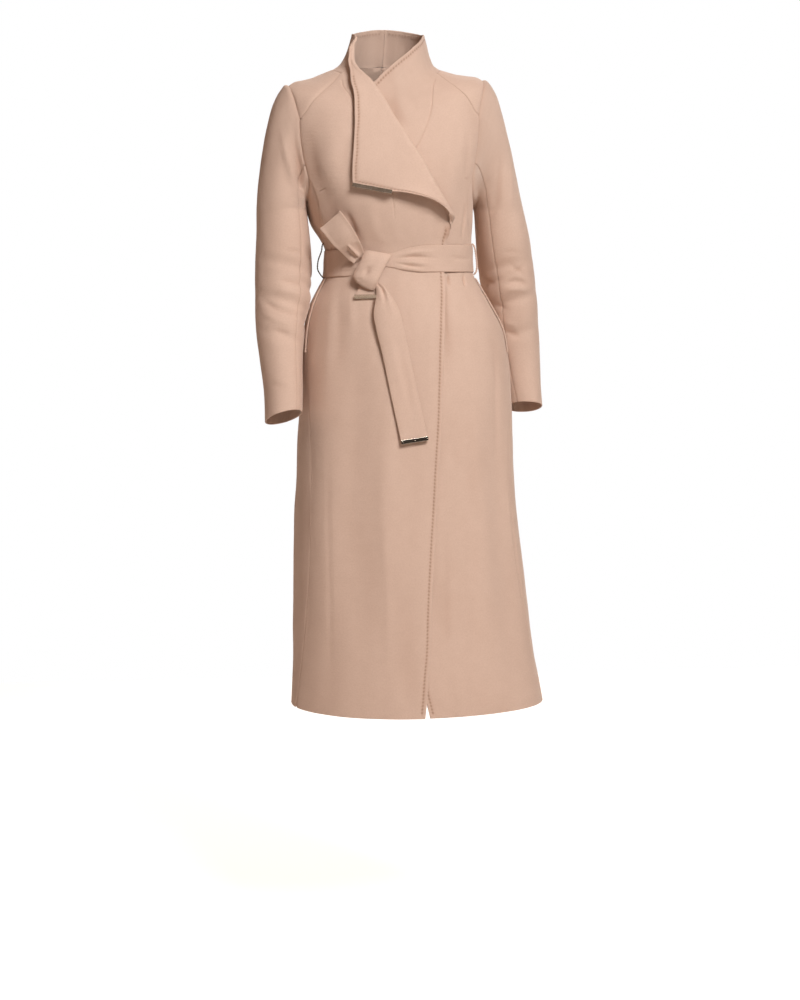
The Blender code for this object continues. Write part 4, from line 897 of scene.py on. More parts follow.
lapel = {
    "rollLine": ((-69.0, 1.262), (-62.6, 1.238), (-55.9, 1.222), (-45.5, 1.2105), (-35.7, 1.2015),
                 (-21.8, 1.182), (-12.3, 1.153), (-3.9, 1.119), (1.5, 1.095), (16.7, 1.017),
                 (21.8, 0.985), (28.9, 0.936), (35.4, 0.907), (39.8, 0.890), (41.5, 0.879),
                 (41.7, 0.869), (41.0, 0.858)),
    "outerEdge": ((-69.0, 1.262), (-66.8, 1.240), (-60.6, 1.218), (-48.0, 1.183), (-38.2, 1.132),
                  (-33.7, 1.097), (-30.6, 1.050), (-29.8, 1.007), (-30.2, 0.936)),
    "bottomEdge": ((-3.8, 0.9215), (4.6, 0.9195), (13.2, 0.9155), (25.4, 0.9070), (30.6, 0.8995),
                   (34.6, 0.8915), (37.8, 0.8830), (39.9, 0.8740), (40.7, 0.8660), (41.0, 0.858)),
    "radius": 0.0032,        # inside the turned edge
    "breakRadius": 0.0075,   # the same, where the lapel starts to turn
    "cornerShare": 0.62,     # share of the roll line above the lapel's corner
    "barShare": 0.80,        # the same above the bar's inner end
    "rows": (120, 34, 60),   # apex to corner, along the bar, bar to break point
    "bendColumns": 12,
    "flapColumns": 22,
    "flapRise": 0.004,       # how far the outer edge lifts off the chest
    "breakRise": 0.0055,     # the same, near the break point
    "breakShare": 0.90,
    "breakSpread": 0.10,
    "opening": (0.0, 0.05, 0.92, 1.0),    # the turn opens and closes along the roll line
    "widening": (0.70, 0.95),             # its radius grows between these shares
    "closeWidth": 0.022,     # a narrower flap has its rows inside the edge drawn together
    "stitchWidth": 0.026,    # a narrower flap has no stitches
    "calm": 0.02,            # how far from the turn the panel's creases reach their full height
}


def flapEdgePlace(share):
    corner, barEnd = flat((lapel["outerEdge"][-1], lapel["bottomEdge"][0]))
    cornerShare, barShare = lapel["cornerShare"], lapel["barShare"]
    upper = atShare(smoothCurve(flat(lapel["outerEdge"]), 0.004), np.clip(share / cornerShare, 0, 1))
    part = np.clip((share - cornerShare) / (barShare - cornerShare), 0, 1)[:, None]
    along = corner * (1 - part) + barEnd * part
    lower = atShare(smoothCurve(flat(lapel["bottomEdge"]), 0.004),
                    np.clip((share - barShare) / (1 - barShare), 0, 1))
    share = share[:, None]
    return np.where(share <= cornerShare, upper, np.where(share <= barShare, along, lower))


def rollFrame(share):
    curve = smoothCurve(flat(lapel["rollLine"]), 0.004)
    places = atShare(curve, share)
    ahead = atShare(curve, np.minimum(1, share + 0.01)) - atShare(curve, np.maximum(0, share - 0.01))
    opened = band(share, *lapel["opening"])
    radius = (lapel["radius"] + (lapel["breakRadius"] - lapel["radius"])
              * smoothStep(share, *lapel["widening"]))
    start = moved(places, ahead, -(radius + cloth["wall"]) * opened)
    return start, ahead, radius, opened


def lapelShares():
    stops = (0.0, lapel["cornerShare"], lapel["barShare"], 1.0)
    parts = [np.linspace(a, b, rows + 1)[:-1] for a, b, rows in zip(stops, stops[1:], lapel["rows"])]
    return np.concatenate(parts + [[1.0]])


def lapelGrid(share):
    # Points of the turned lapel: rows down the roll line, columns round the turn and over the flap.
    start, ahead, radius, opened = rollFrame(share)
    edge = flapEdgePlace(share)
    points = []
    for k in range(lapel["bendColumns"] + 1):
        bend = math.pi * opened * k / lapel["bendColumns"]
        place = moved(start, ahead, radius * np.sin(bend))
        points.append((place, radius * (1 - np.cos(bend))))
    width = np.linalg.norm((edge - start) * flatMetric(start), axis=1) * opened
    rings = np.array((0.0,) + cloth["rings"])[::-1]
    squeeze = np.minimum(1.0, width / lapel["closeWidth"])[:, None] / np.maximum(width, 1e-9)[:, None]
    evenly = np.linspace(0, 1, lapel["flapColumns"] + 1)[1:-1]
    inner = 1 - evenly[None, :] * (1 - rings[0] * squeeze)
    shares = 1 - np.concatenate((inner, rings[None, :] * squeeze), 1)    # 0 at the turn, 1 at the edge
    bend = math.pi * opened
    bulge = np.exp(-((share - lapel["breakShare"]) / lapel["breakSpread"])**2)
    rise = lapel["flapRise"] + lapel["breakRise"] * bulge
    for k in range(shares.shape[1]):
        part = shares[:, k] * opened
        place = start * (1 - part[:, None]) + edge * part[:, None]
        points.append((place, radius * (1 - np.cos(bend)) + rise * smoothStep(part, 0.0, 1.0)))
    grid = []
    for place, height in points:
        angle, up = bodyPlace(place)
        grid.append(bodyPoint(angle, up, overlapLift(angle, up) + height))
    grid = np.stack(grid, 1)
    shares = np.concatenate((np.zeros((len(share), lapel["bendColumns"] + 1)), shares), 1)
    cornerRow, barRow = lapel["rows"][0], lapel["rows"][0] + lapel["rows"][1]
    if len(share) > barRow:               # the stretch that the bar grips is straight
        first, last = grid[cornerRow, -1].copy(), grid[barRow, -1].copy()
        part = np.linspace(0, 1, barRow - cornerRow + 1)[:, None]
        pull = first * (1 - part) + last * part - grid[cornerRow:barRow + 1, -1]
        weight = smoothStep(shares[cornerRow:barRow + 1], 0.2, 1.0)[:, :, None]
        grid[cornerRow:barRow + 1] += pull[:, None, :] * weight
    distance = (1 - shares) * width[:, None]
    distance[:, :lapel["bendColumns"] + 1] = width[:, None] + 0.01
    return start, grid, distance, width


def vertexNormals(points, faces):
    normals = np.zeros_like(points)
    for count in (3, 4):
        some = np.array([face for face in faces if len(face) == count])
        if len(some):
            a, b, c = (points[some[:, k]] for k in range(3))
            area = np.cross(b - a, c - a) if count == 3 else np.cross(c - a, points[some[:, 3]] - b)
            for k in range(count):
                np.add.at(normals, some[:, k], area)
    return unit(normals)


def joinFlap(grid, rollIds, count):
    # Numbers the flap's points after the panel's own: rows that close up share one point.
    index = np.zeros(grid.shape[:2], int)
    index[:, 0] = rollIds[::-1]
    fresh = []
    for i in range(len(grid)):
        for k in range(1, grid.shape[1]):
            if i in (0, len(grid) - 1) or np.linalg.norm(grid[i, k] - grid[i, k - 1]) < 1e-7:
                index[i, k] = index[i, k - 1]
            else:
                index[i, k] = count + len(fresh)
                fresh.append((i, k))
    faces = []
    for i in range(len(grid) - 1):
        for k in range(grid.shape[1] - 1):
            corners = index[i, k], index[i + 1, k], index[i + 1, k + 1], index[i, k + 1]
            square = tuple(dict.fromkeys(int(corner) for corner in corners))
            if len(square) >= 3:
                faces.append(square)
    return index, tuple(np.array(fresh).T), faces


def sewFrontRight():
    share = lapelShares()
    start, grid, distance, width = lapelGrid(share)
    apex = (math.degrees(start[0, 0] / cloth["girth"]), start[0, 1])
    collarTop = (apex,) + mirrored(seams["collarTop"])[1:]
    middle = mirrored((seams["collarTop"][-1], seams["neckBack"][-1]))
    runs = [
        (kinds["plain"], run(hemRun(-seams["side"][0][0], seams["overlapEdge"][0][0]))),
        (kinds["stitched"], run(seams["overlapEdge"], True)), (kinds["roll"], start[::-1]),
        (kinds["stitched"], run(collarTop, True)), (kinds["seam"], run(middle)),
        seamRun("neckBack", -1, back=True), seamRun("neckOverYoke", -1, back=True),
        seamRun("yokeFront", -1), seamRun("armholeFront", -1, back=True), seamRun("side", -1, back=True)]
    outline, kindsAlong = joinRuns(runs)
    first = len(runs[0][1]) + len(runs[1][1]) - 2
    rollIds = np.arange(first, first + len(start))
    outline = inset(outline, cloth["seamGap"] / 2)
    outline[rollIds] = start[::-1]
    free = np.ones(len(outline), bool)
    free[rollIds] = False
    places, edge, kind, faces, points, normals, shade, lines = layCloth(
        runs, outline, kindsAlong, free, panelCreases["right"], 12, overlapLift)
    count = len(points)
    index, fresh, flapFaces = joinFlap(grid, rollIds, count)
    points = np.concatenate((points, grid[fresh]))
    faces = faces + flapFaces
    found = vertexNormals(points, faces)
    normals = np.concatenate((normals, found[count:]))
    normals[rollIds] = found[rollIds]
    edge = np.concatenate((edge, distance[fresh]))
    rim = np.zeros(len(points), bool)
    rim[:len(outline)] = edge[:len(outline)] < 1e-6
    rim[index[:, -1]] = True
    stitchColumn = -1 - (1 + cloth["rings"].index(pick["inset"]))
    ids = index[width > lapel["stitchWidth"], stitchColumn]
    flapLine = (points[ids] - cloth["wall"] * normals[ids], -normals[ids])
    near = abs(edge[count:] - pick["inset"]) < pick["reach"]
    sunk, flapStitchShade = stitchMarks(near, edge[count:], points[count:] - cloth["wall"] * normals[count:],
                                  [flapLine])
    points[count:] += normals[count:] * sunk[:, None]
    across = np.linalg.norm(grid - grid[:, :1], axis=2)[fresh]
    maps = np.concatenate((places, np.stack((0.9 + share[fresh[0]] * 0.42, across), -1)))
    # Painted shade: the panel's own, more where the free edge curls out, and the flap's stitch shade doubled.
    shade = np.concatenate((shade + overlap["curlShade"] * edgeCurl(*bodyPlace(places)), flapStitchShade * 2))
    tight = np.concatenate((kind == kinds["seam"], np.zeros(len(flapStitchShade), bool)))
    piece = makeCloth("front_right", points, normals, faces, edge, rim, maps, shade, tight)
    stitches = stitchRow("stitches_front_right", lines + [flapLine], -pick["groove"])
    print(f"  front_right: {len(piece.data.polygons)} faces")


sleeve = {
    "right": (
        # z, x, y, halfWidth, halfDepth, tilt, roll
        (-0.268, -0.1930, -0.012, 0.0440, 0.061, 0.00, 0.00),
        (-0.320, -0.1905, -0.014, 0.0478, 0.062, 0.00, 0.00),
        (-0.374, -0.1905, -0.018, 0.0500, 0.061, 0.02, 0.00),
        (-0.427, -0.1928, -0.026, 0.0489, 0.059, 0.05, 0.00),
        (-0.480, -0.1980, -0.040, 0.0435, 0.055, 0.10, 0.00),
        (-0.533, -0.1975, -0.053, 0.0385, 0.051, 0.16, 0.03),
        (-0.585, -0.1950, -0.066, 0.0340, 0.047, 0.24, 0.12),
        (-0.6327, -0.1958, -0.078, 0.0322, 0.045, 0.28, 0.22),
    ),
    "left": (
        (-0.268, 0.2020, 0.020, 0.0440, 0.061, 0.00, 0.00),
        (-0.317, 0.2114, 0.032, 0.0485, 0.062, 0.00, 0.00),
        (-0.371, 0.2213, 0.048, 0.0500, 0.061, 0.00, 0.00),
        (-0.426, 0.2318, 0.062, 0.0489, 0.059, 0.02, 0.00),
        (-0.481, 0.2397, 0.075, 0.0465, 0.055, 0.05, 0.00),
        (-0.536, 0.2472, 0.080, 0.0422, 0.051, 0.10, 0.00),
        (-0.590, 0.2550, 0.077, 0.0364, 0.047, 0.18, 0.00),
        (-0.6225, 0.2598, 0.073, 0.0335, 0.045, 0.25, -0.03),
    ),
    "squareness": 2.15,
    "girth": 0.30,
    "tuck": 0.0003,          # how far the head's edge runs in under the armhole's edge
    "turnIn": 0.0045,        # where the head leaves the lie of the body's cloth
    "calm": 0.012,           # how far from the armhole the creases reach their full height
    "capOut": 0.42,          # how far the head runs on before it drops, as a share
    "headRoll": (0.0020, 0.065, 0.060, 0.13),    # lift, row, spread down and round of the padded head
    "headLean": (0.35, 0.0, 0.94),               # the way it lifts
    "headTurn": 0.02,        # how far round its middle lies
    "fall": 1.15,            # how straight the head comes down into the arm
    "topShare": 5 / 9,       # where the outer line meets the top of the armhole
    "seamTurns": (0.32801, 0.70161),
    "capLength": 0.12,
    "armLength": 0.365,
    "capRows": 46,
    "armRows": 96,
    "columns": 84,           # all round
    "softFolds": (
        # place down the arm, place round it, length, width, depth
        (0.28, 0.30, 0.16, 0.030, 0.0045),
        (0.37, 0.42, 0.17, 0.028, 0.0050),
        (0.46, 0.30, 0.18, 0.028, 0.0055),
        (0.54, 0.44, 0.15, 0.026, 0.0045),
        (0.63, 0.28, 0.14, 0.028, 0.0035),
    ),
}
# Creases of the sleeves: depth, width, taper, then turns round from the outer line and rows down.
sleeveCreases = {
    "right": (
        (-7.5, 11.0, 0.4, ((0.200, 0.13), (0.285, 0.24), (0.325, 0.42), (0.335, 0.66))),
        (2.8, 10.0, 0.4, ((0.109, 0.34), (0.241, 0.47), (0.339, 0.82))),
        (-2.0, 4.0, 0.4, ((0.240, 1.195), (0.335, 1.207))),
        (-3.0, 4.5, 0.35, ((0.200, 1.340), (0.280, 1.352), (0.365, 1.372))),
        (2.0, 5.0, 0.4, ((0.190, 1.385), (0.270, 1.402), (0.350, 1.420))),
        (-3.4, 5.0, 0.35, ((0.100, 1.425), (0.233, 1.495), (0.370, 1.530))),
        (2.2, 5.0, 0.4, ((0.110, 1.490), (0.220, 1.545), (0.330, 1.575))),
        (-2.4, 4.2, 0.4, ((0.190, 1.590), (0.305, 1.625))),
        (-1.6, 4.0, 0.4, ((0.130, 1.850), (0.270, 1.885))),
        (-2.6, 5.0, 0.4, ((0.420, 1.300), (0.520, 1.340), (0.620, 1.330))),
        (-3.0, 5.0, 0.4, ((0.440, 1.460), (0.540, 1.440), (0.660, 1.470))),
        (-2.2, 5.0, 0.4, ((0.480, 1.610), (0.590, 1.580))),
        (-2.0, 6.0, 0.4, ((0.780, 1.380), (0.900, 1.420), (0.980, 1.400))),
        (1.8, 6.0, 0.4, ((0.770, 1.330), (0.880, 1.350), (0.960, 1.320))),
        (-2.4, 9.0, 0.4, ((0.640, 0.30), (0.720, 0.52), (0.770, 0.90))),
        (2.0, 9.0, 0.4, ((0.580, 0.40), (0.660, 0.62), (0.700, 0.96))),
    ),
    "left": (
        (-3.2, 8.0, 0.4, ((0.152, 0.46), (0.245, 0.68), (0.308, 1.02), (0.388, 1.13))),
        (2.2, 9.0, 0.4, ((0.110, 0.56), (0.190, 0.84), (0.240, 1.06))),
        (-1.5, 4.0, 0.4, ((0.290, 1.205), (0.180, 1.204))),
        (-2.4, 4.0, 0.4, ((0.262, 1.262), (0.175, 1.325))),
        (-2.4, 4.0, 0.4, ((0.260, 1.324), (0.163, 1.258))),
        (-3.4, 3.4, 0.3, ((0.305, 1.372), (0.242, 1.350), (0.170, 1.368))),
        (2.8, 5.0, 0.4, ((0.305, 1.405), (0.248, 1.393), (0.175, 1.404))),
        (-2.6, 4.0, 0.4, ((0.463, 1.318), (0.350, 1.371))),
        (-2.3, 4.5, 0.4, ((0.390, 1.470), (0.275, 1.504))),
        (-2.2, 4.5, 0.4, ((0.350, 1.602), (0.235, 1.648))),
        (1.6, 5.0, 0.4, ((0.340, 1.555), (0.245, 1.590))),
        (-2.4, 5.0, 0.4, ((0.520, 1.290), (0.610, 1.320), (0.690, 1.300))),
        (-2.8, 5.0, 0.4, ((0.500, 1.450), (0.580, 1.420), (0.680, 1.450))),
        (-2.0, 6.0, 0.4, ((0.760, 1.400), (0.880, 1.430), (0.960, 1.390))),
        (1.8, 6.0, 0.4, ((0.770, 1.340), (0.870, 1.360), (0.950, 1.330))),
        (-2.4, 9.0, 0.4, ((0.640, 0.30), (0.720, 0.54), (0.760, 0.92))),
        (1.8, 9.0, 0.4, ((0.590, 0.44), (0.660, 0.64), (0.700, 0.98))),
    ),
}


def armholeLoop(sign):
    # The armhole's seam as flat places, from the shoulder forwards and round.
    top, front, backRun = (smoothCurve(flat(seams[name] if sign > 0 else mirrored(seams[name])), 0.004)
                           for name in ("armholeTop", "armholeFront", "armholeBack"))
    stops = np.linspace(sleeve["topShare"], 0, 24), np.linspace(1, sleeve["topShare"], 20)
    return np.concatenate((atShare(top, stops[0]), front[::-1][1:], backRun[::-1][1:],
                           atShare(top, stops[1])[1:]))


def sideName(sign):
    return "left" if sign > 0 else "right"


def sleeveRing(read, z, turn, sign):
    x, y, halfWidth, halfDepth, tilt, roll = read(z)
    c, s = np.cos(2 * math.pi * turn), np.sin(2 * math.pi * turn)
    squareness = sleeve["squareness"]
    radius = ((abs(c) / halfWidth)**squareness + (abs(s) / halfDepth)**squareness)**(-1 / squareness)
    dx, dy = sign * radius * c, -radius * s
    return np.stack((x + dx, y + dy, z - tilt * dy + roll * dx), -1)


def sleeveBase(sign, turns, downs):       # rows 0 to 1 are the sleeve head, 1 to 2 the arm
    table = sleeve[sideName(sign)]
    read = smoothTable(sorted(table))
    first, last = table[0][0], table[-1][0]
    around = turns % 1.0
    loop = armholeLoop(sign)
    ahead = atShare(loop, (around + 0.01) % 1.0) - atShare(loop, (around - 0.01) % 1.0)
    place = moved(atShare(loop, around), ahead, np.full(len(around), -sign * sleeve["tuck"]))
    start = bodyPoint(*bodyPlace(place))
    end = sleeveRing(read, first, around, sign)
    drop = np.linalg.norm(end - start, axis=1)[:, None]
    outward = unit(np.array((sign, 0.0, 0.02))) * sleeve["capOut"] * drop
    downward = unit(sleeveRing(read, first - 0.01, around, sign) - end) * drop * sleeve["fall"]
    rows = []
    for t in downs:
        if t < 1:
            lift, row, long, wide = sleeve["headRoll"]
            gap = (around + 0.5 + sleeve["headTurn"] * sign) % 1.0 - 0.5
            head = lift * math.exp(-((t - row) / long)**2) * smoothStep(t, 0.0, 0.05)
            head = (head * np.exp(-(gap / wide)**2))[:, None] * sleeve["headLean"] * (sign, 1, 1)
            rows.append((2 * t**3 - 3 * t**2 + 1) * start + (t**3 - 2 * t**2 + t) * outward
                        + (3 * t**2 - 2 * t**3) * end + (t**3 - t**2) * downward + head)
            continue
        points = sleeveRing(read, first + (last - first) * (t - 1), around, sign)
        centres = points.copy()
        centres[:, :2] = read(points[:, 2])[:, :2]
        for creaseDown, creaseTurn, length, width, depth in sleeve["softFolds"]:
            gap = (around - creaseTurn + 0.5) % 1.0 - 0.5
            near = np.exp(-(gap / length)**2 - ((t - 1 - creaseDown - gap * 0.25) / width)**2)
            points = points - unit(points - centres) * (depth * near)[:, None]
        rows.append(points)
    return np.array(rows)


def gridNormals(grid, flip=1.0):
    return unit(np.cross(np.gradient(grid, axis=1), np.gradient(grid, axis=0))) * flip


def gridFaces(rows, columns, flip=False):
    faces = []
    for i in range(rows - 1):
        for k in range(columns - 1):
            a = i * columns + k
            face = (a, a + 1, a + columns + 1, a + columns)
            faces.append(face[::-1] if flip else face)
    return faces


def gridEdge(grid):                       # real distance of every grid point to the nearest border
    across = np.linalg.norm(np.diff(grid, axis=1), axis=2)
    along = np.linalg.norm(np.diff(grid, axis=0), axis=2)
    left = np.concatenate((np.zeros((len(grid), 1)), np.cumsum(across, 1)), 1)
    top = np.concatenate((np.zeros((1, grid.shape[1])), np.cumsum(along, 0)), 0)
    return left, left[:, -1:] - left, top, top[-1:] - top


def gridMap(edges):
    return np.stack((edges[0], edges[2]), -1).reshape(-1, 2)


def gridMetric(grid, across, along, least):      # real metres for each step of the grid's own values
    sizes = (np.linalg.norm(np.gradient(grid, across, axis=1), axis=2),
             np.linalg.norm(np.gradient(grid, along, axis=0), axis=2))
    return np.maximum(np.stack(sizes, -1).reshape(-1, 2), least)


def gridCloth(name, points, normals, edge, maps, shade=None, tight=False, flip=False):
    rows, columns = normals.shape[:2]
    rim = np.zeros((rows, columns), bool)
    rim[0], rim[-1], rim[:, 0], rim[:, -1] = True, True, True, True
    return makeCloth(name, points.reshape(-1, 3), normals.reshape(-1, 3), gridFaces(rows, columns, flip),
                     edge, rim.ravel(), maps, shade, tight)


def spread(start, end, count, size):      # even stops, with the rings' closer ones at the ends
    margins = np.array(cloth["rings"][:4]) / size
    low, high = start + margins[-1], end - margins[-1]
    return np.concatenate(([start], start + margins, np.linspace(low, high, count)[1:-1],
                           end - margins[::-1], [end]))


def sewSleeve(name, sign, start, end):
    # One half of a sleeve between its two long seams.
    form = sleeve
    trim = cloth["seamGap"] / form["girth"]
    count = round(form["columns"] * (end - start))
    turns = spread(start + trim, end - trim, count, form["girth"])
    cap = spread(0.0, 1.0, form["capRows"], form["capLength"])[:-6]
    arm = spread(0.95, 2.0, form["armRows"], form["armLength"])[6:]
    downs = np.concatenate((cap, arm))
    grid = sleeveBase(sign, turns, downs)
    normals = gridNormals(grid, sign)
    edges = gridEdge(grid)
    seamPlaces = atShare(armholeLoop(sign), turns % 1.0)
    around = bodyFrame(*bodyPlace(seamPlaces))[0]
    weight = smoothStep(edges[2], 0.0, form["turnIn"])[:, :, None]
    normals = unit(around[None] * (1 - weight) + normals * weight)
    places = np.stack(np.meshgrid(turns % 1.0, downs), -1).reshape(-1, 2)
    metric = gridMetric(grid, turns, downs, (0.12, 0.05))
    out = creaseField(places, metric, sleeveCreases[sideName(sign)])
    out += ripple(places[:, 0] * form["girth"], places[:, 1] * 0.3, 41 + sign)
    out *= smoothStep(edges[2], 0.0, form["calm"]).ravel()
    seam = np.minimum(np.minimum(edges[0], edges[1]), edges[2]).ravel()
    out -= cloth["seamSink"] * np.exp(-(seam / cloth["seamWidth"])**2)
    points = grid.reshape(-1, 3) + normals.reshape(-1, 3) * out[:, None]
    edge = np.minimum(seam, edges[3].ravel())
    # Painted shade, darker in the sleeve's hollows and along its seams.
    shade = np.clip(-out / 0.005, 0, 1) * 0.5 + seamShade(seam, 0.25)
    maps = np.stack((places[:, 0] * form["girth"], places[:, 1] * 0.36), -1)
    piece = gridCloth(name, points, normals, edge, maps, shade, seam <= edges[3].ravel(), sign < 0)
    print(f"  {name}: {len(piece.data.polygons)} faces")


belt = {
    "line": (
        # angle, up, halfWidth, out
        (-24.0, 0.8010, 0.0105, 0.0058),
        (-14.0, 0.8015, 0.0125, 0.0058),
        (-2.0, 0.8030, 0.0190, 0.0068),
        (12.0, 0.8045, 0.0236, 0.0074),
        (30.0, 0.8055, 0.0243, 0.0064),
        (48.0, 0.8060, 0.0243, 0.0040),
        (70.0, 0.8070, 0.0243, 0.0027),
        (110.0, 0.8050, 0.0243, 0.0024),
        (180.0, 0.8000, 0.0243, 0.0024),
        (250.0, 0.7970, 0.0243, 0.0024),
        (285.0, 0.7970, 0.0243, 0.0030),
        (300.0, 0.7972, 0.0243, 0.0050),
        (313.0, 0.7975, 0.0235, 0.0058),
        (321.0, 0.7978, 0.0180, 0.0058),
    ),
    "columns": 20,
    "rows": 420,
    "softness": 0.0011,      # how far the band's middle stands above its edges
    "sink": 0.0006,          # how far its edges lie under the line
    "degree": 0.0021,        # length of one degree round the waist
    "creases": (
        (-3.4, 2.2, 0.60, ((-12.0, 0.8040), (2.0, 0.8080), (14.0, 0.8085), (30.0, 0.8060))),
        (2.0, 4.0, 0.55, ((-10.0, 0.8100), (6.0, 0.8165), (30.0, 0.8180))),
        (2.2, 4.5, 0.55, ((-10.0, 0.7995), (6.0, 0.7985), (28.0, 0.7950))),
        (-2.2, 2.2, 0.55, ((-12.0, 0.7975), (2.0, 0.7930), (20.0, 0.7880))),
        (1.2, 3.0, 0.4, ((-6.0, 0.7905), (6.0, 0.7860), (18.0, 0.7840))),
        (-1.0, 4.0, 0.4, ((36.0, 0.8100), (58.0, 0.8060), (74.0, 0.8080))),
        (-2.0, 2.6, 0.35, ((323.0, 0.8000), (314.0, 0.8010), (305.0, 0.7990))),
        (1.4, 4.0, 0.4, ((322.0, 0.7900), (311.0, 0.7890), (300.0, 0.7860))),
        (-0.9, 4.0, 0.4, ((118.0, 0.8110), (146.0, 0.8060), (172.0, 0.8080))),
        (0.8, 5.0, 0.4, ((130.0, 0.7960), (160.0, 0.7920), (190.0, 0.7930))),
        (-0.9, 4.0, 0.4, ((206.0, 0.7930), (232.0, 0.7970), (262.0, 0.7950))),
    ),
}
# The loose stretches of the belt. Creases: depth, width, taper, then share across and row.
strips = {
    "belt_knot": {
        "rows": (
            # leftX, leftZ, rightX, rightZ, out, crown
            (-0.0540, -0.3425, -0.0110, -0.3505, 0.0096, 0.0000),
            (-0.0551, -0.3405, -0.0092, -0.3486, 0.0145, 0.0010),
            (-0.0609, -0.3519, -0.0149, -0.3590, 0.0220, 0.0020),
            (-0.0688, -0.3671, -0.0236, -0.3755, 0.0250, 0.0025),
            (-0.0769, -0.3848, -0.0334, -0.3940, 0.0238, 0.0025),
            (-0.0729, -0.3961, -0.0374, -0.4054, 0.0190, 0.0020),
            (-0.0642, -0.4030, -0.0407, -0.4125, 0.0135, 0.0010),
            (-0.0630, -0.4010, -0.0415, -0.4095, 0.0090, 0.0000),
        ),
        "creases": (
            (-2.0, 5.5, 0.45, ((0.40, 2.7), (0.42, 3.3), (0.50, 3.9))),
            (1.0, 7.0, 0.4, ((0.30, 0.8), (0.26, 1.8), (0.28, 2.8))),
            (0.9, 7.0, 0.4, ((0.72, 1.2), (0.70, 2.8), (0.66, 4.4))),
            (-1.0, 3.0, 0.4, ((0.14, 4.6), (0.30, 4.3), (0.44, 4.2))),
        ),
        "rowCount": 64, "columns": 30, "flip": False, "curl": 0.0020, "size": (0.05, 0.08, 0.0036),
    },
    "belt_loop": {
        "rows": (
            (-0.0728, -0.3640, -0.0560, -0.3460, 0.0146, 0.0000),
            (-0.0860, -0.3535, -0.0607, -0.3337, 0.0195, 0.0020),
            (-0.0985, -0.3420, -0.0664, -0.3226, 0.0275, 0.0025),
            (-0.1102, -0.3325, -0.0730, -0.3119, 0.0312, 0.0020),
            (-0.1200, -0.3206, -0.0831, -0.2962, 0.0315, 0.0010),
            (-0.1318, -0.3058, -0.0978, -0.2763, 0.0302, 0.0000),
            (-0.1326, -0.3049, -0.0986, -0.2754, 0.0278, 0.0000),
            (-0.1300, -0.3078, -0.0960, -0.2786, 0.0245, 0.0000),
            (-0.1190, -0.3200, -0.0835, -0.2962, 0.0210, 0.0000),
            (-0.1080, -0.3315, -0.0735, -0.3130, 0.0180, 0.0000),
            (-0.0960, -0.3425, -0.0670, -0.3240, 0.0150, 0.0000),
        ),
        "lean": 0.0075,      # how far its outer side stands before its inner side
        "creases": (
            (-4.0, 2.6, 0.30, ((0.56, 0.0), (0.52, 0.9), (0.46, 1.7), (0.42, 2.3))),
            (2.6, 3.6, 0.35, ((0.34, 0.1), (0.31, 1.0), (0.30, 1.8))),
            (1.2, 5.0, 0.4, ((0.80, 0.2), (0.76, 1.2), (0.72, 2.2))),
        ),
        "rowCount": 110, "columns": 30, "flip": True, "curl": 0.0014, "size": (0.05, 0.19, 0.0069),
    },
    "belt_long_tail": {
        "rows": (
            (-0.0440, -0.3930, -0.0345, -0.3900, 0.0120, 0.0000),
            (-0.0394, -0.4005, -0.0290, -0.3985, 0.0140, 0.0000),
            (-0.0375, -0.4066, -0.0206, -0.4066, 0.0165, 0.0010),
            (-0.0385, -0.4223, -0.0092, -0.4214, 0.0185, 0.0025),
            (-0.0430, -0.4517, 0.0036, -0.4482, 0.0175, 0.0025),
            (-0.0374, -0.4846, 0.0110, -0.4811, 0.0150, 0.0015),
            (-0.0294, -0.5175, 0.0183, -0.5141, 0.0130, 0.0010),
            (-0.0222, -0.5522, 0.0253, -0.5480, 0.0120, 0.0005),
            (-0.0149, -0.5868, 0.0323, -0.5818, 0.0115, 0.0000),
            (-0.0087, -0.6155, 0.0387, -0.6100, 0.0118, 0.0000),
            (-0.0025, -0.6441, 0.0450, -0.6383, 0.0122, 0.0000),
            (0.0038, -0.6732, 0.0516, -0.6664, 0.0130, 0.0000),
        ),
        "creases": (
            (-3.6, 3.0, 0.30, ((0.66, 0.4), (0.62, 1.4), (0.56, 2.3), (0.50, 3.3))),
            (2.6, 5.0, 0.4, ((0.90, 0.8), (0.82, 1.9), (0.72, 3.0), (0.64, 4.2))),
            (1.8, 5.0, 0.4, ((0.30, 1.2), (0.30, 2.4), (0.32, 3.8))),
            (-1.2, 3.0, 0.4, ((0.92, 2.4), (0.88, 3.2), (0.84, 4.2))),
            (0.9, 8.0, 0.4, ((0.35, 4.2), (0.40, 7.0), (0.45, 9.4))),
            (-0.7, 7.0, 0.4, ((0.70, 5.0), (0.66, 8.0), (0.62, 10.4))),
        ),
        "rowCount": 130, "columns": 28, "flip": False, "curl": 0.0010, "size": (0.05, 0.29, 0.0125),
    },
    "belt_short_end": {
        "rows": (
            (-0.0600, -0.3950, -0.0300, -0.3985, 0.0085, 0.0000),
            (-0.0640, -0.4030, -0.0275, -0.4060, 0.0088, 0.0000),
            (-0.0684, -0.4110, -0.0235, -0.4126, 0.0090, 0.0000),
            (-0.0734, -0.4205, -0.0255, -0.4196, 0.0095, 0.0000),
        ),
        "creases": ((-0.7, 3.0, 0.3, ((0.45, 0.4), (0.40, 2.4))),),
        "rowCount": 26, "columns": 26, "flip": False, "curl": 0.0004, "size": (0.05, 0.025, 0.0011),
    },
}


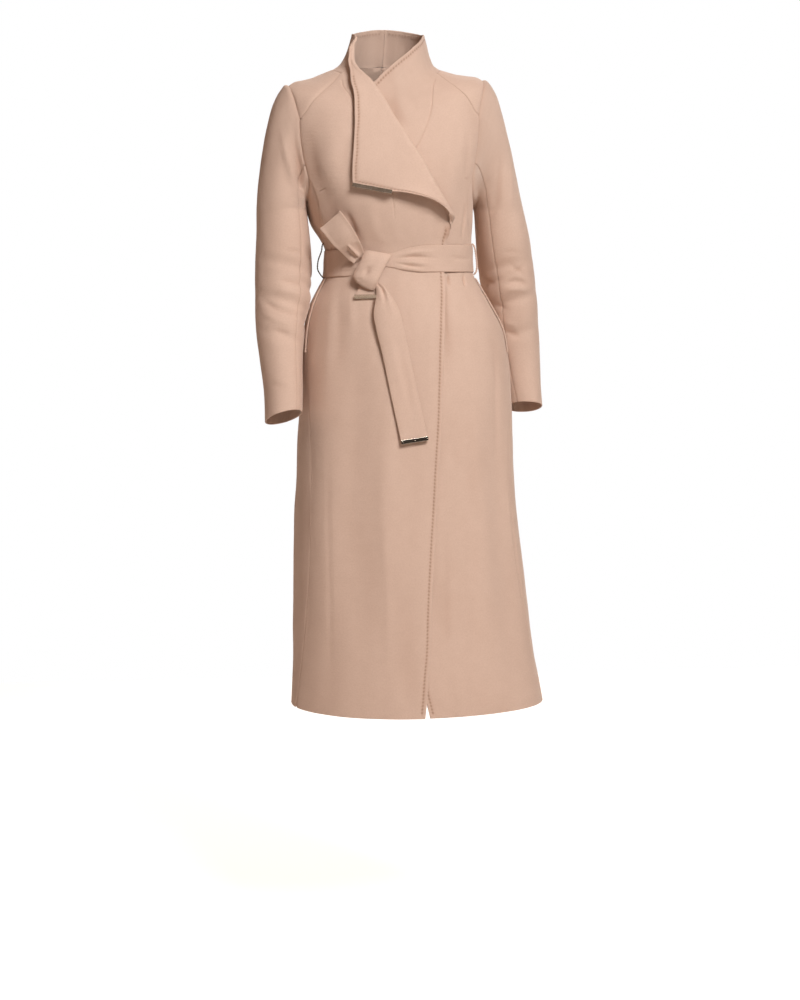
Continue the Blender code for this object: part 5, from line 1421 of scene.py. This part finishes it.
def stripPoint(rows, across, along, lean=0.0):
    # Points of a loose stretch at shares across it and rows along it, both grids.
    table = smoothTable([(i,) + row for i, row in enumerate(rows)])
    leftX, leftZ, rightX, rightZ, out, crown = np.moveaxis(table(along), -1, 0)
    x, z = leftX + (rightX - leftX) * across, leftZ + (rightZ - leftZ) * across
    out = out + crown * (1 - (2 * across - 1)**2)
    out = out + lean * (1 - 2 * across) * smoothStep(along, 0.3, 2.4)
    angle, up = frontPlace(x, z, out)
    return bodyPoint(angle, up, out)


def endRow(rows):                         # the straight last row that a bar grips, and the one before
    across = np.array([0.0, 0.5, 1.0])
    last = stripPoint(rows, across, np.full(3, len(rows) - 1.0))
    before = stripPoint(rows, across, np.full(3, len(rows) - 2.0))
    return last[0], last[2], before


def sewStrip(name, barred=False):
    form = strips[name]
    rows = form["rows"]
    across = spread(0.0, 1.0, form["columns"], 0.045)
    along = spread(0.0, len(rows) - 1.0, form["rowCount"], 0.025)
    shareGrid, rowGrid = np.meshgrid(across, along)
    grid = stripPoint(rows, shareGrid, rowGrid, form.get("lean", 0.0))
    if barred:
        start, end, _ = endRow(rows)
        line = start + (end - start) * across[:, None]
        weight = smoothStep(rowGrid, len(rows) - 2.0, len(rows) - 1.0)[:, :, None]
        grid = grid + (line - grid[-1])[None] * weight
    facing = -1 if form["flip"] else 1
    normals = gridNormals(grid, -facing)
    edges = gridEdge(grid)
    places = np.stack((shareGrid, rowGrid), -1).reshape(-1, 2)
    side = np.minimum(edges[0], edges[1]).ravel()
    out = creaseField(places, gridMetric(grid, across, along, (0.01, 0.004)), form["creases"])
    out -= form["curl"] * np.exp(-(side / 0.0045)**2)
    out = out * (smoothStep(edges[3].ravel(), 0.0, 0.015) if barred else 1.0)    # flat under its bar
    points = grid.reshape(-1, 3) + normals.reshape(-1, 3) * (out * facing)[:, None]
    # Painted shade, darker in the strip's hollows, goes in as its sunk attribute.
    piece = gridCloth(name, points, normals, np.minimum.reduce(edges).ravel(),
                      gridMap(edges) + (len(name) * 0.1, 0.4), np.clip(-out / 0.004, 0, 1) * 0.4,
                      flip=not form["flip"])
    print(f"  {name}: {len(piece.data.polygons)} faces")


def sewBeltWaist():
    first, last = belt["line"][0][0], belt["line"][-1][0]
    degrees = spread(first, last, belt["rows"], belt["degree"])
    across = spread(0.0, 1.0, belt["columns"], 0.048)
    shareGrid, degreeGrid = np.meshgrid(across, degrees)
    up, halfWidth, out = np.moveaxis(smoothTable(belt["line"])(degreeGrid), -1, 0)
    height = up + halfWidth * (1 - 2 * shareGrid)
    angle = np.radians(degreeGrid)
    places = np.stack((angle * cloth["girth"], height), -1).reshape(-1, 2)
    metric = bodyFrame(angle.ravel(), height.ravel())[1]
    lift = creaseField(places, metric, bodyCreases(belt["creases"])).reshape(out.shape)
    lift += belt["softness"] * (1 - np.abs(2 * shareGrid - 1)**4) - belt["sink"]
    grid = bodyPoint(angle, height, out)
    normals = bodyFrame(angle, height)[0]
    edges = gridEdge(grid)
    # Painted shade, darker where the band lies low.
    piece = gridCloth("belt_waist", grid + normals * lift[:, :, None], normals,
                      np.minimum.reduce(edges).ravel(), np.roll(gridMap(edges), 1, 1),
                      np.clip(-lift / 0.003, 0, 1).ravel() * 0.6)
    print(f"  belt_waist: {len(piece.data.polygons)} faces")


barForm = {
    "height": 0.0070,
    "thickness": 0.0050,
    "slot": 0.0022,          # how far the bar grips the cloth's edge
    "clearance": 0.0004,
    "dome": 0.00015,         # how far its front face swells
    "bevel": 0.00065,
    "stud": 0.0010,          # radius of the small domes on its face
    "studHeight": 0.0006,
}


def stud(centre, along, up, out, first):  # a small polished dome on a bar's face
    form, count = barForm, 14
    turns = np.linspace(0, 2 * math.pi, count + 1)[:-1]
    points = [centre + out * form["studHeight"]]
    levels = (0.30, 0.60, 0.85, 1.0)
    for level in levels:
        reach, height = form["stud"] * level, form["studHeight"] * math.sqrt(1 - level**2)
        points += [centre + out * height + reach * (along * math.cos(t) + up * math.sin(t)) for t in turns]
    points += [centre - out * 0.0002]     # its foot, inside the bar
    faces = [(first, first + 1 + k, first + 1 + (k + 1) % count) for k in range(count)]
    faces += turned(tubeFaces(first + 1, len(levels), count, False))
    foot = first + len(points) - 1
    faces += [(foot - count + k, foot, foot - count + (k + 1) % count) for k in range(count)]
    return np.array(points), turned(faces) if np.cross(along, up).dot(out) < 0 else faces


def makeBar(name, node, start, end, towards, facing, shares=()):
    form = barForm
    along = unit(end - start)
    up = unit(towards - towards.dot(along) * along)
    out = unit(np.cross(along, up))
    if out.dot(facing) < 0:
        out = -out
    slot, half = cloth["wall"] / 2 + form["clearance"], form["thickness"] / 2
    top, bottom, gap = form["slot"], form["slot"] - form["height"], cloth["seamGap"]
    profile = [(-half, top), (-slot, top), (-slot, -gap), (slot, -gap), (slot, top)]
    for t in np.linspace(0, 1, 9):
        profile.append((half + form["dome"] * math.sin(math.pi * t), top + (bottom - top) * t))
    profile.append((-half, bottom))
    verts = [point - cloth["wall"] / 2 * out + out * a + up * b for point in (start, end) for a, b in profile]
    verts, faces = np.array(verts), tubeFaces(0, 2, len(profile))
    if np.cross(along, up).dot(out) < 0:
        faces = turned(faces)
    for share in shares:
        centre = (start + (end - start) * share - cloth["wall"] / 2 * out + out * (half + form["dome"])
                  + up * (top + bottom) / 2)
        studPoints, studFaces = stud(centre, along, up, out, len(verts))
        verts = np.concatenate((verts, studPoints))
        faces += studFaces
    piece = makeMesh(name, verts, faces, metal)
    bevel = piece.modifiers.new("rounded", "BEVEL")
    bevel.width, bevel.segments, bevel.limit_method = form["bevel"], 3, "ANGLE"
    bevel.angle_limit, bevel.harden_normals = math.radians(35), True
    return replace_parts(piece, node)


def makeEndBar(name, strip, shares=()):
    rows = strips[strip]["rows"]
    start, end, before = endRow(rows)
    middle = (start + end) / 2
    facing = np.cross(end - start, before[0] - start)
    return makeBar(name + "_polished", name, start, end, unit(before[1] - middle), facing, shares)


def makeLapelBar():
    share = lapelShares()
    grid = lapelGrid(share)[1]
    corner, inner = lapel["rows"][0], lapel["rows"][0] + lapel["rows"][1]
    start, end = grid[corner, -1], grid[inner, -1]
    middle = (corner + inner) // 2
    towards = unit(grid[middle, -9] - grid[middle, -1])
    facing = np.cross(towards, unit(end - start))
    makeBar("lapel_bar_polished", "lapel_bar", start, end, towards, facing, (0.04, 0.5, 0.96))


pocket = {
    "welt": ((0.640, 0.0025), (0.662, 0.0060), (0.690, 0.0090), (0.715, 0.0098),
             (0.740, 0.0080), (0.760, 0.0050), (0.772, 0.0030)),    # height and width
    "columns": (0, 0.05, 0.12, 0.24, 0.36, 0.50, 0.64, 0.76, 0.88, 0.95, 1),
    "rowCount": 60,
    "gap": 0.0003,
    "bulge": 0.0003,
}


def sewPocketWelt(name, sign):
    heights = [row[0] for row in pocket["welt"]]
    ups = spread(heights[0], heights[-1], pocket["rowCount"], 1.0)
    shareGrid, up = np.meshgrid(pocket["columns"], ups)
    width = smoothTable(pocket["welt"])(up)[..., 0]
    edge = np.radians(smoothTable([(high, angle) for angle, high in seams["side"]])(up)[..., 0])
    metric = bodyFrame(edge, up)[1][..., 0] * cloth["girth"]
    angle = sign * (edge + width * shareGrid / metric)
    out = cloth["wall"] + pocket["gap"] + pocket["bulge"] * (1 - (2 * shareGrid - 1)**2)
    grid = bodyPoint(angle, up, out)
    edges = gridEdge(grid)
    piece = gridCloth(name, grid, bodyFrame(angle, up)[0], np.minimum.reduce(edges).ravel(),
                      gridMap(edges) + (1.7, 0.2), flip=sign < 0)


carrier = {
    # height and out along each loop
    "right": ((0.8340, 0.0004), (0.8325, 0.0040), (0.828, 0.0070), (0.816, 0.0115), (0.801, 0.0155),
              (0.787, 0.0160), (0.7775, 0.0115), (0.7725, 0.0050), (0.7715, 0.0004)),
    "left": ((0.8335, 0.0004), (0.832, 0.0035), (0.827, 0.0058), (0.816, 0.0080), (0.802, 0.0095),
             (0.790, 0.0088), (0.782, 0.0058), (0.7785, 0.0004)),
    "degrees": 83,
    "radius": {"right": 0.0012, "left": 0.0017},
    "twist": 1400.0,         # turns of the thread per metre, in radians
}


def makeCarrier(name, sign):              # a loop of twisted thread that holds the belt
    line = smoothCurve(carrier[sideName(sign)], 0.0008)
    angle = math.radians(carrier["degrees"]) * sign
    points = bodyPoint(angle, line[:, 0], line[:, 1])
    sideWay = unit(np.cross(bodyFrame(angle, 0.8)[0], (0, 0, 1)))
    ahead = unit(np.gradient(points, axis=0))
    other = unit(np.cross(sideWay, ahead))
    stops = lengthAlong(points)[:, None]
    bend = np.linspace(0, 2 * math.pi, 13)[:-1][None, :]
    thick = carrier["radius"][sideName(sign)]
    radius = thick * (0.90 + 0.16 * np.cos(2 * bend + stops * carrier["twist"]))[..., None]
    ring = points[:, None] + radius * (np.cos(bend)[..., None] * sideWay
                                       + np.sin(bend)[..., None] * other[:, None])
    faces = turned(tubeFaces(0, len(points), ring.shape[1]))
    maps = np.stack(np.broadcast_arrays(bend * thick, stops), -1).reshape(-1, 2)
    # The carrier on the wearer's right takes the darker copy, painted shadow.
    piece = makeMesh(name + "_thread", ring.reshape(-1, 3), faces,
                     shadowThread if sign < 0 else wool, maps)
    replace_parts(piece, name)


print("Sewing the panels")
makeLapelBar()
sewFrontLeft()
sewFrontRight()
sewBack("back_left", 1)
sewBack("back_right", -1)
sewYoke("yoke_left", 1)
sewYoke("yoke_right", -1)
print("Setting the sleeves")
front, back = sleeve["seamTurns"]
for side, sign in (("left", 1), ("right", -1)):
    sewSleeve(f"sleeve_{side}_top", sign, back - 1, front)
    sewSleeve(f"sleeve_{side}_under", sign, front, back)
    sewPocketWelt(f"pocket_welt_{side}", sign)
    makeCarrier(f"belt_carrier_{side}", sign)
print("Tying the belt")
tailBar = makeEndBar("tail_bar", "belt_long_tail", (0.06, 0.5, 0.94))
shortBar = makeEndBar("short_end_bar", "belt_short_end")
sewBeltWaist()
sewStrip("belt_knot")
sewStrip("belt_loop")
sewStrip("belt_long_tail", True)
sewStrip("belt_short_end", True)


studio = {
    "floorHeight": -1.60,
    "floorSize": 3.0,                    # half its width
    "camera": (-0.46773, -3.97261, -0.457),
    "ahead": (0.12146, 0.98919, -0.08222),
    "across": (0.99255, -0.12187, 0.0),
    "lens": 79.83,
    "ambient": (0.02, 0.38),             # from below and from above
    "horizon": (0.12, 0.80),             # heights between which it grows
    "ambientColour": (1.0, 0.70, 0.55, 1),
    "lamps": (
        # name, place, size, power, colour: soft panels that face the chest
        ("key", (0.95, -3.05, 1.65), 1.2, 131.0, (1.0, 1.0, 0.99)),
        ("fill", (-2.2, -3.0, 0.3), 2.0, 5.0, (1.0, 0.80, 0.66)),
        ("back", (0.9, 3.0, 1.5), 1.6, 75.0, (1.0, 1.0, 0.99)),
        ("side", (-2.8, 1.5, 0.9), 2.0, 9.5, (1.0, 0.84, 0.74)),
    ),
    "target": (0.0, 0.0, -0.45),
}


def setWorld():              # white where the camera looks past the coat, soft light from above
    world = bpy.data.worlds.new("studio")
    bpy.context.scene.world = world
    world.use_nodes = True
    nodes, links = world.node_tree.nodes, world.node_tree.links
    seen = nodes.new("ShaderNodeLightPath").outputs["Is Camera Ray"]
    split = nodes.new("ShaderNodeSeparateXYZ")
    links.new(nodes.new("ShaderNodeTexCoord").outputs["Generated"], split.inputs[0])
    height = nodes.new("ShaderNodeMapRange")
    for socket, value in zip(("From Min", "From Max", "To Min", "To Max"),
                             studio["horizon"] + studio["ambient"]):
        height.inputs[socket].default_value = value
    links.new(split.outputs["Z"], height.inputs["Value"])
    soft, plain = nodes["Background"], nodes.new("ShaderNodeBackground")
    soft.inputs["Color"].default_value = studio["ambientColour"]
    links.new(height.outputs[0], soft.inputs["Strength"])
    plain.inputs["Color"].default_value = (1, 1, 1, 1)
    both = nodes.new("ShaderNodeMixShader")
    for socket, source in ((0, seen), (1, soft.outputs[0]), (2, plain.outputs[0])):
        links.new(source, both.inputs[socket])
    links.new(both.outputs[0], nodes["World Output"].inputs["Surface"])


def setStudio():
    floorMesh = bpy.data.meshes.new("floor")
    half, height = studio["floorSize"], studio["floorHeight"]
    floorMesh.from_pydata([(-half, -half, height), (half, -half, height), (half, half, height),
                           (-half, half, height)], [], [(0, 1, 2, 3)])
    finish = Finish("pale_floor", Roughness=0.9, Metallic=0.0, Emission_Strength=0.6)
    seen = finish.add("ShaderNodeLightPath")
    finish.feed(Base_Color=(0.78, 0.73, 0.68, 1),
                Emission_Color=finish.mix(seen, (0, 0, 0, 1), (1, 1, 1, 1)))
    floorMesh.materials.append(finish.material)
    floor = bpy.data.objects.new("floor", floorMesh)
    bpy.context.collection.objects.link(floor)
    for name, place, size, power, colour in studio["lamps"]:
        light = bpy.data.lights.new(name, "AREA")
        light.energy, light.size, light.color = power, size, colour
        lamp = bpy.data.objects.new(name, light)
        lamp.location = place
        aim = Vector(studio["target"]) - Vector(place)
        lamp.rotation_euler = aim.to_track_quat("-Z", "Y").to_euler()
        bpy.context.collection.objects.link(lamp)
    data = bpy.data.cameras.new("camera")
    data.lens = studio["lens"]
    camera = bpy.data.objects.new("camera", data)
    across, ahead = Vector(studio["across"]), Vector(studio["ahead"])
    turn = Matrix((across, across.cross(ahead), -ahead)).transposed()
    camera.matrix_world = Matrix.Translation(studio["camera"]) @ turn.to_4x4()
    bpy.context.collection.objects.link(camera)
    bpy.context.scene.camera = camera
    bpy.context.scene.view_settings.view_transform = "Standard"


print("Setting the studio")
setWorld()
setStudio()
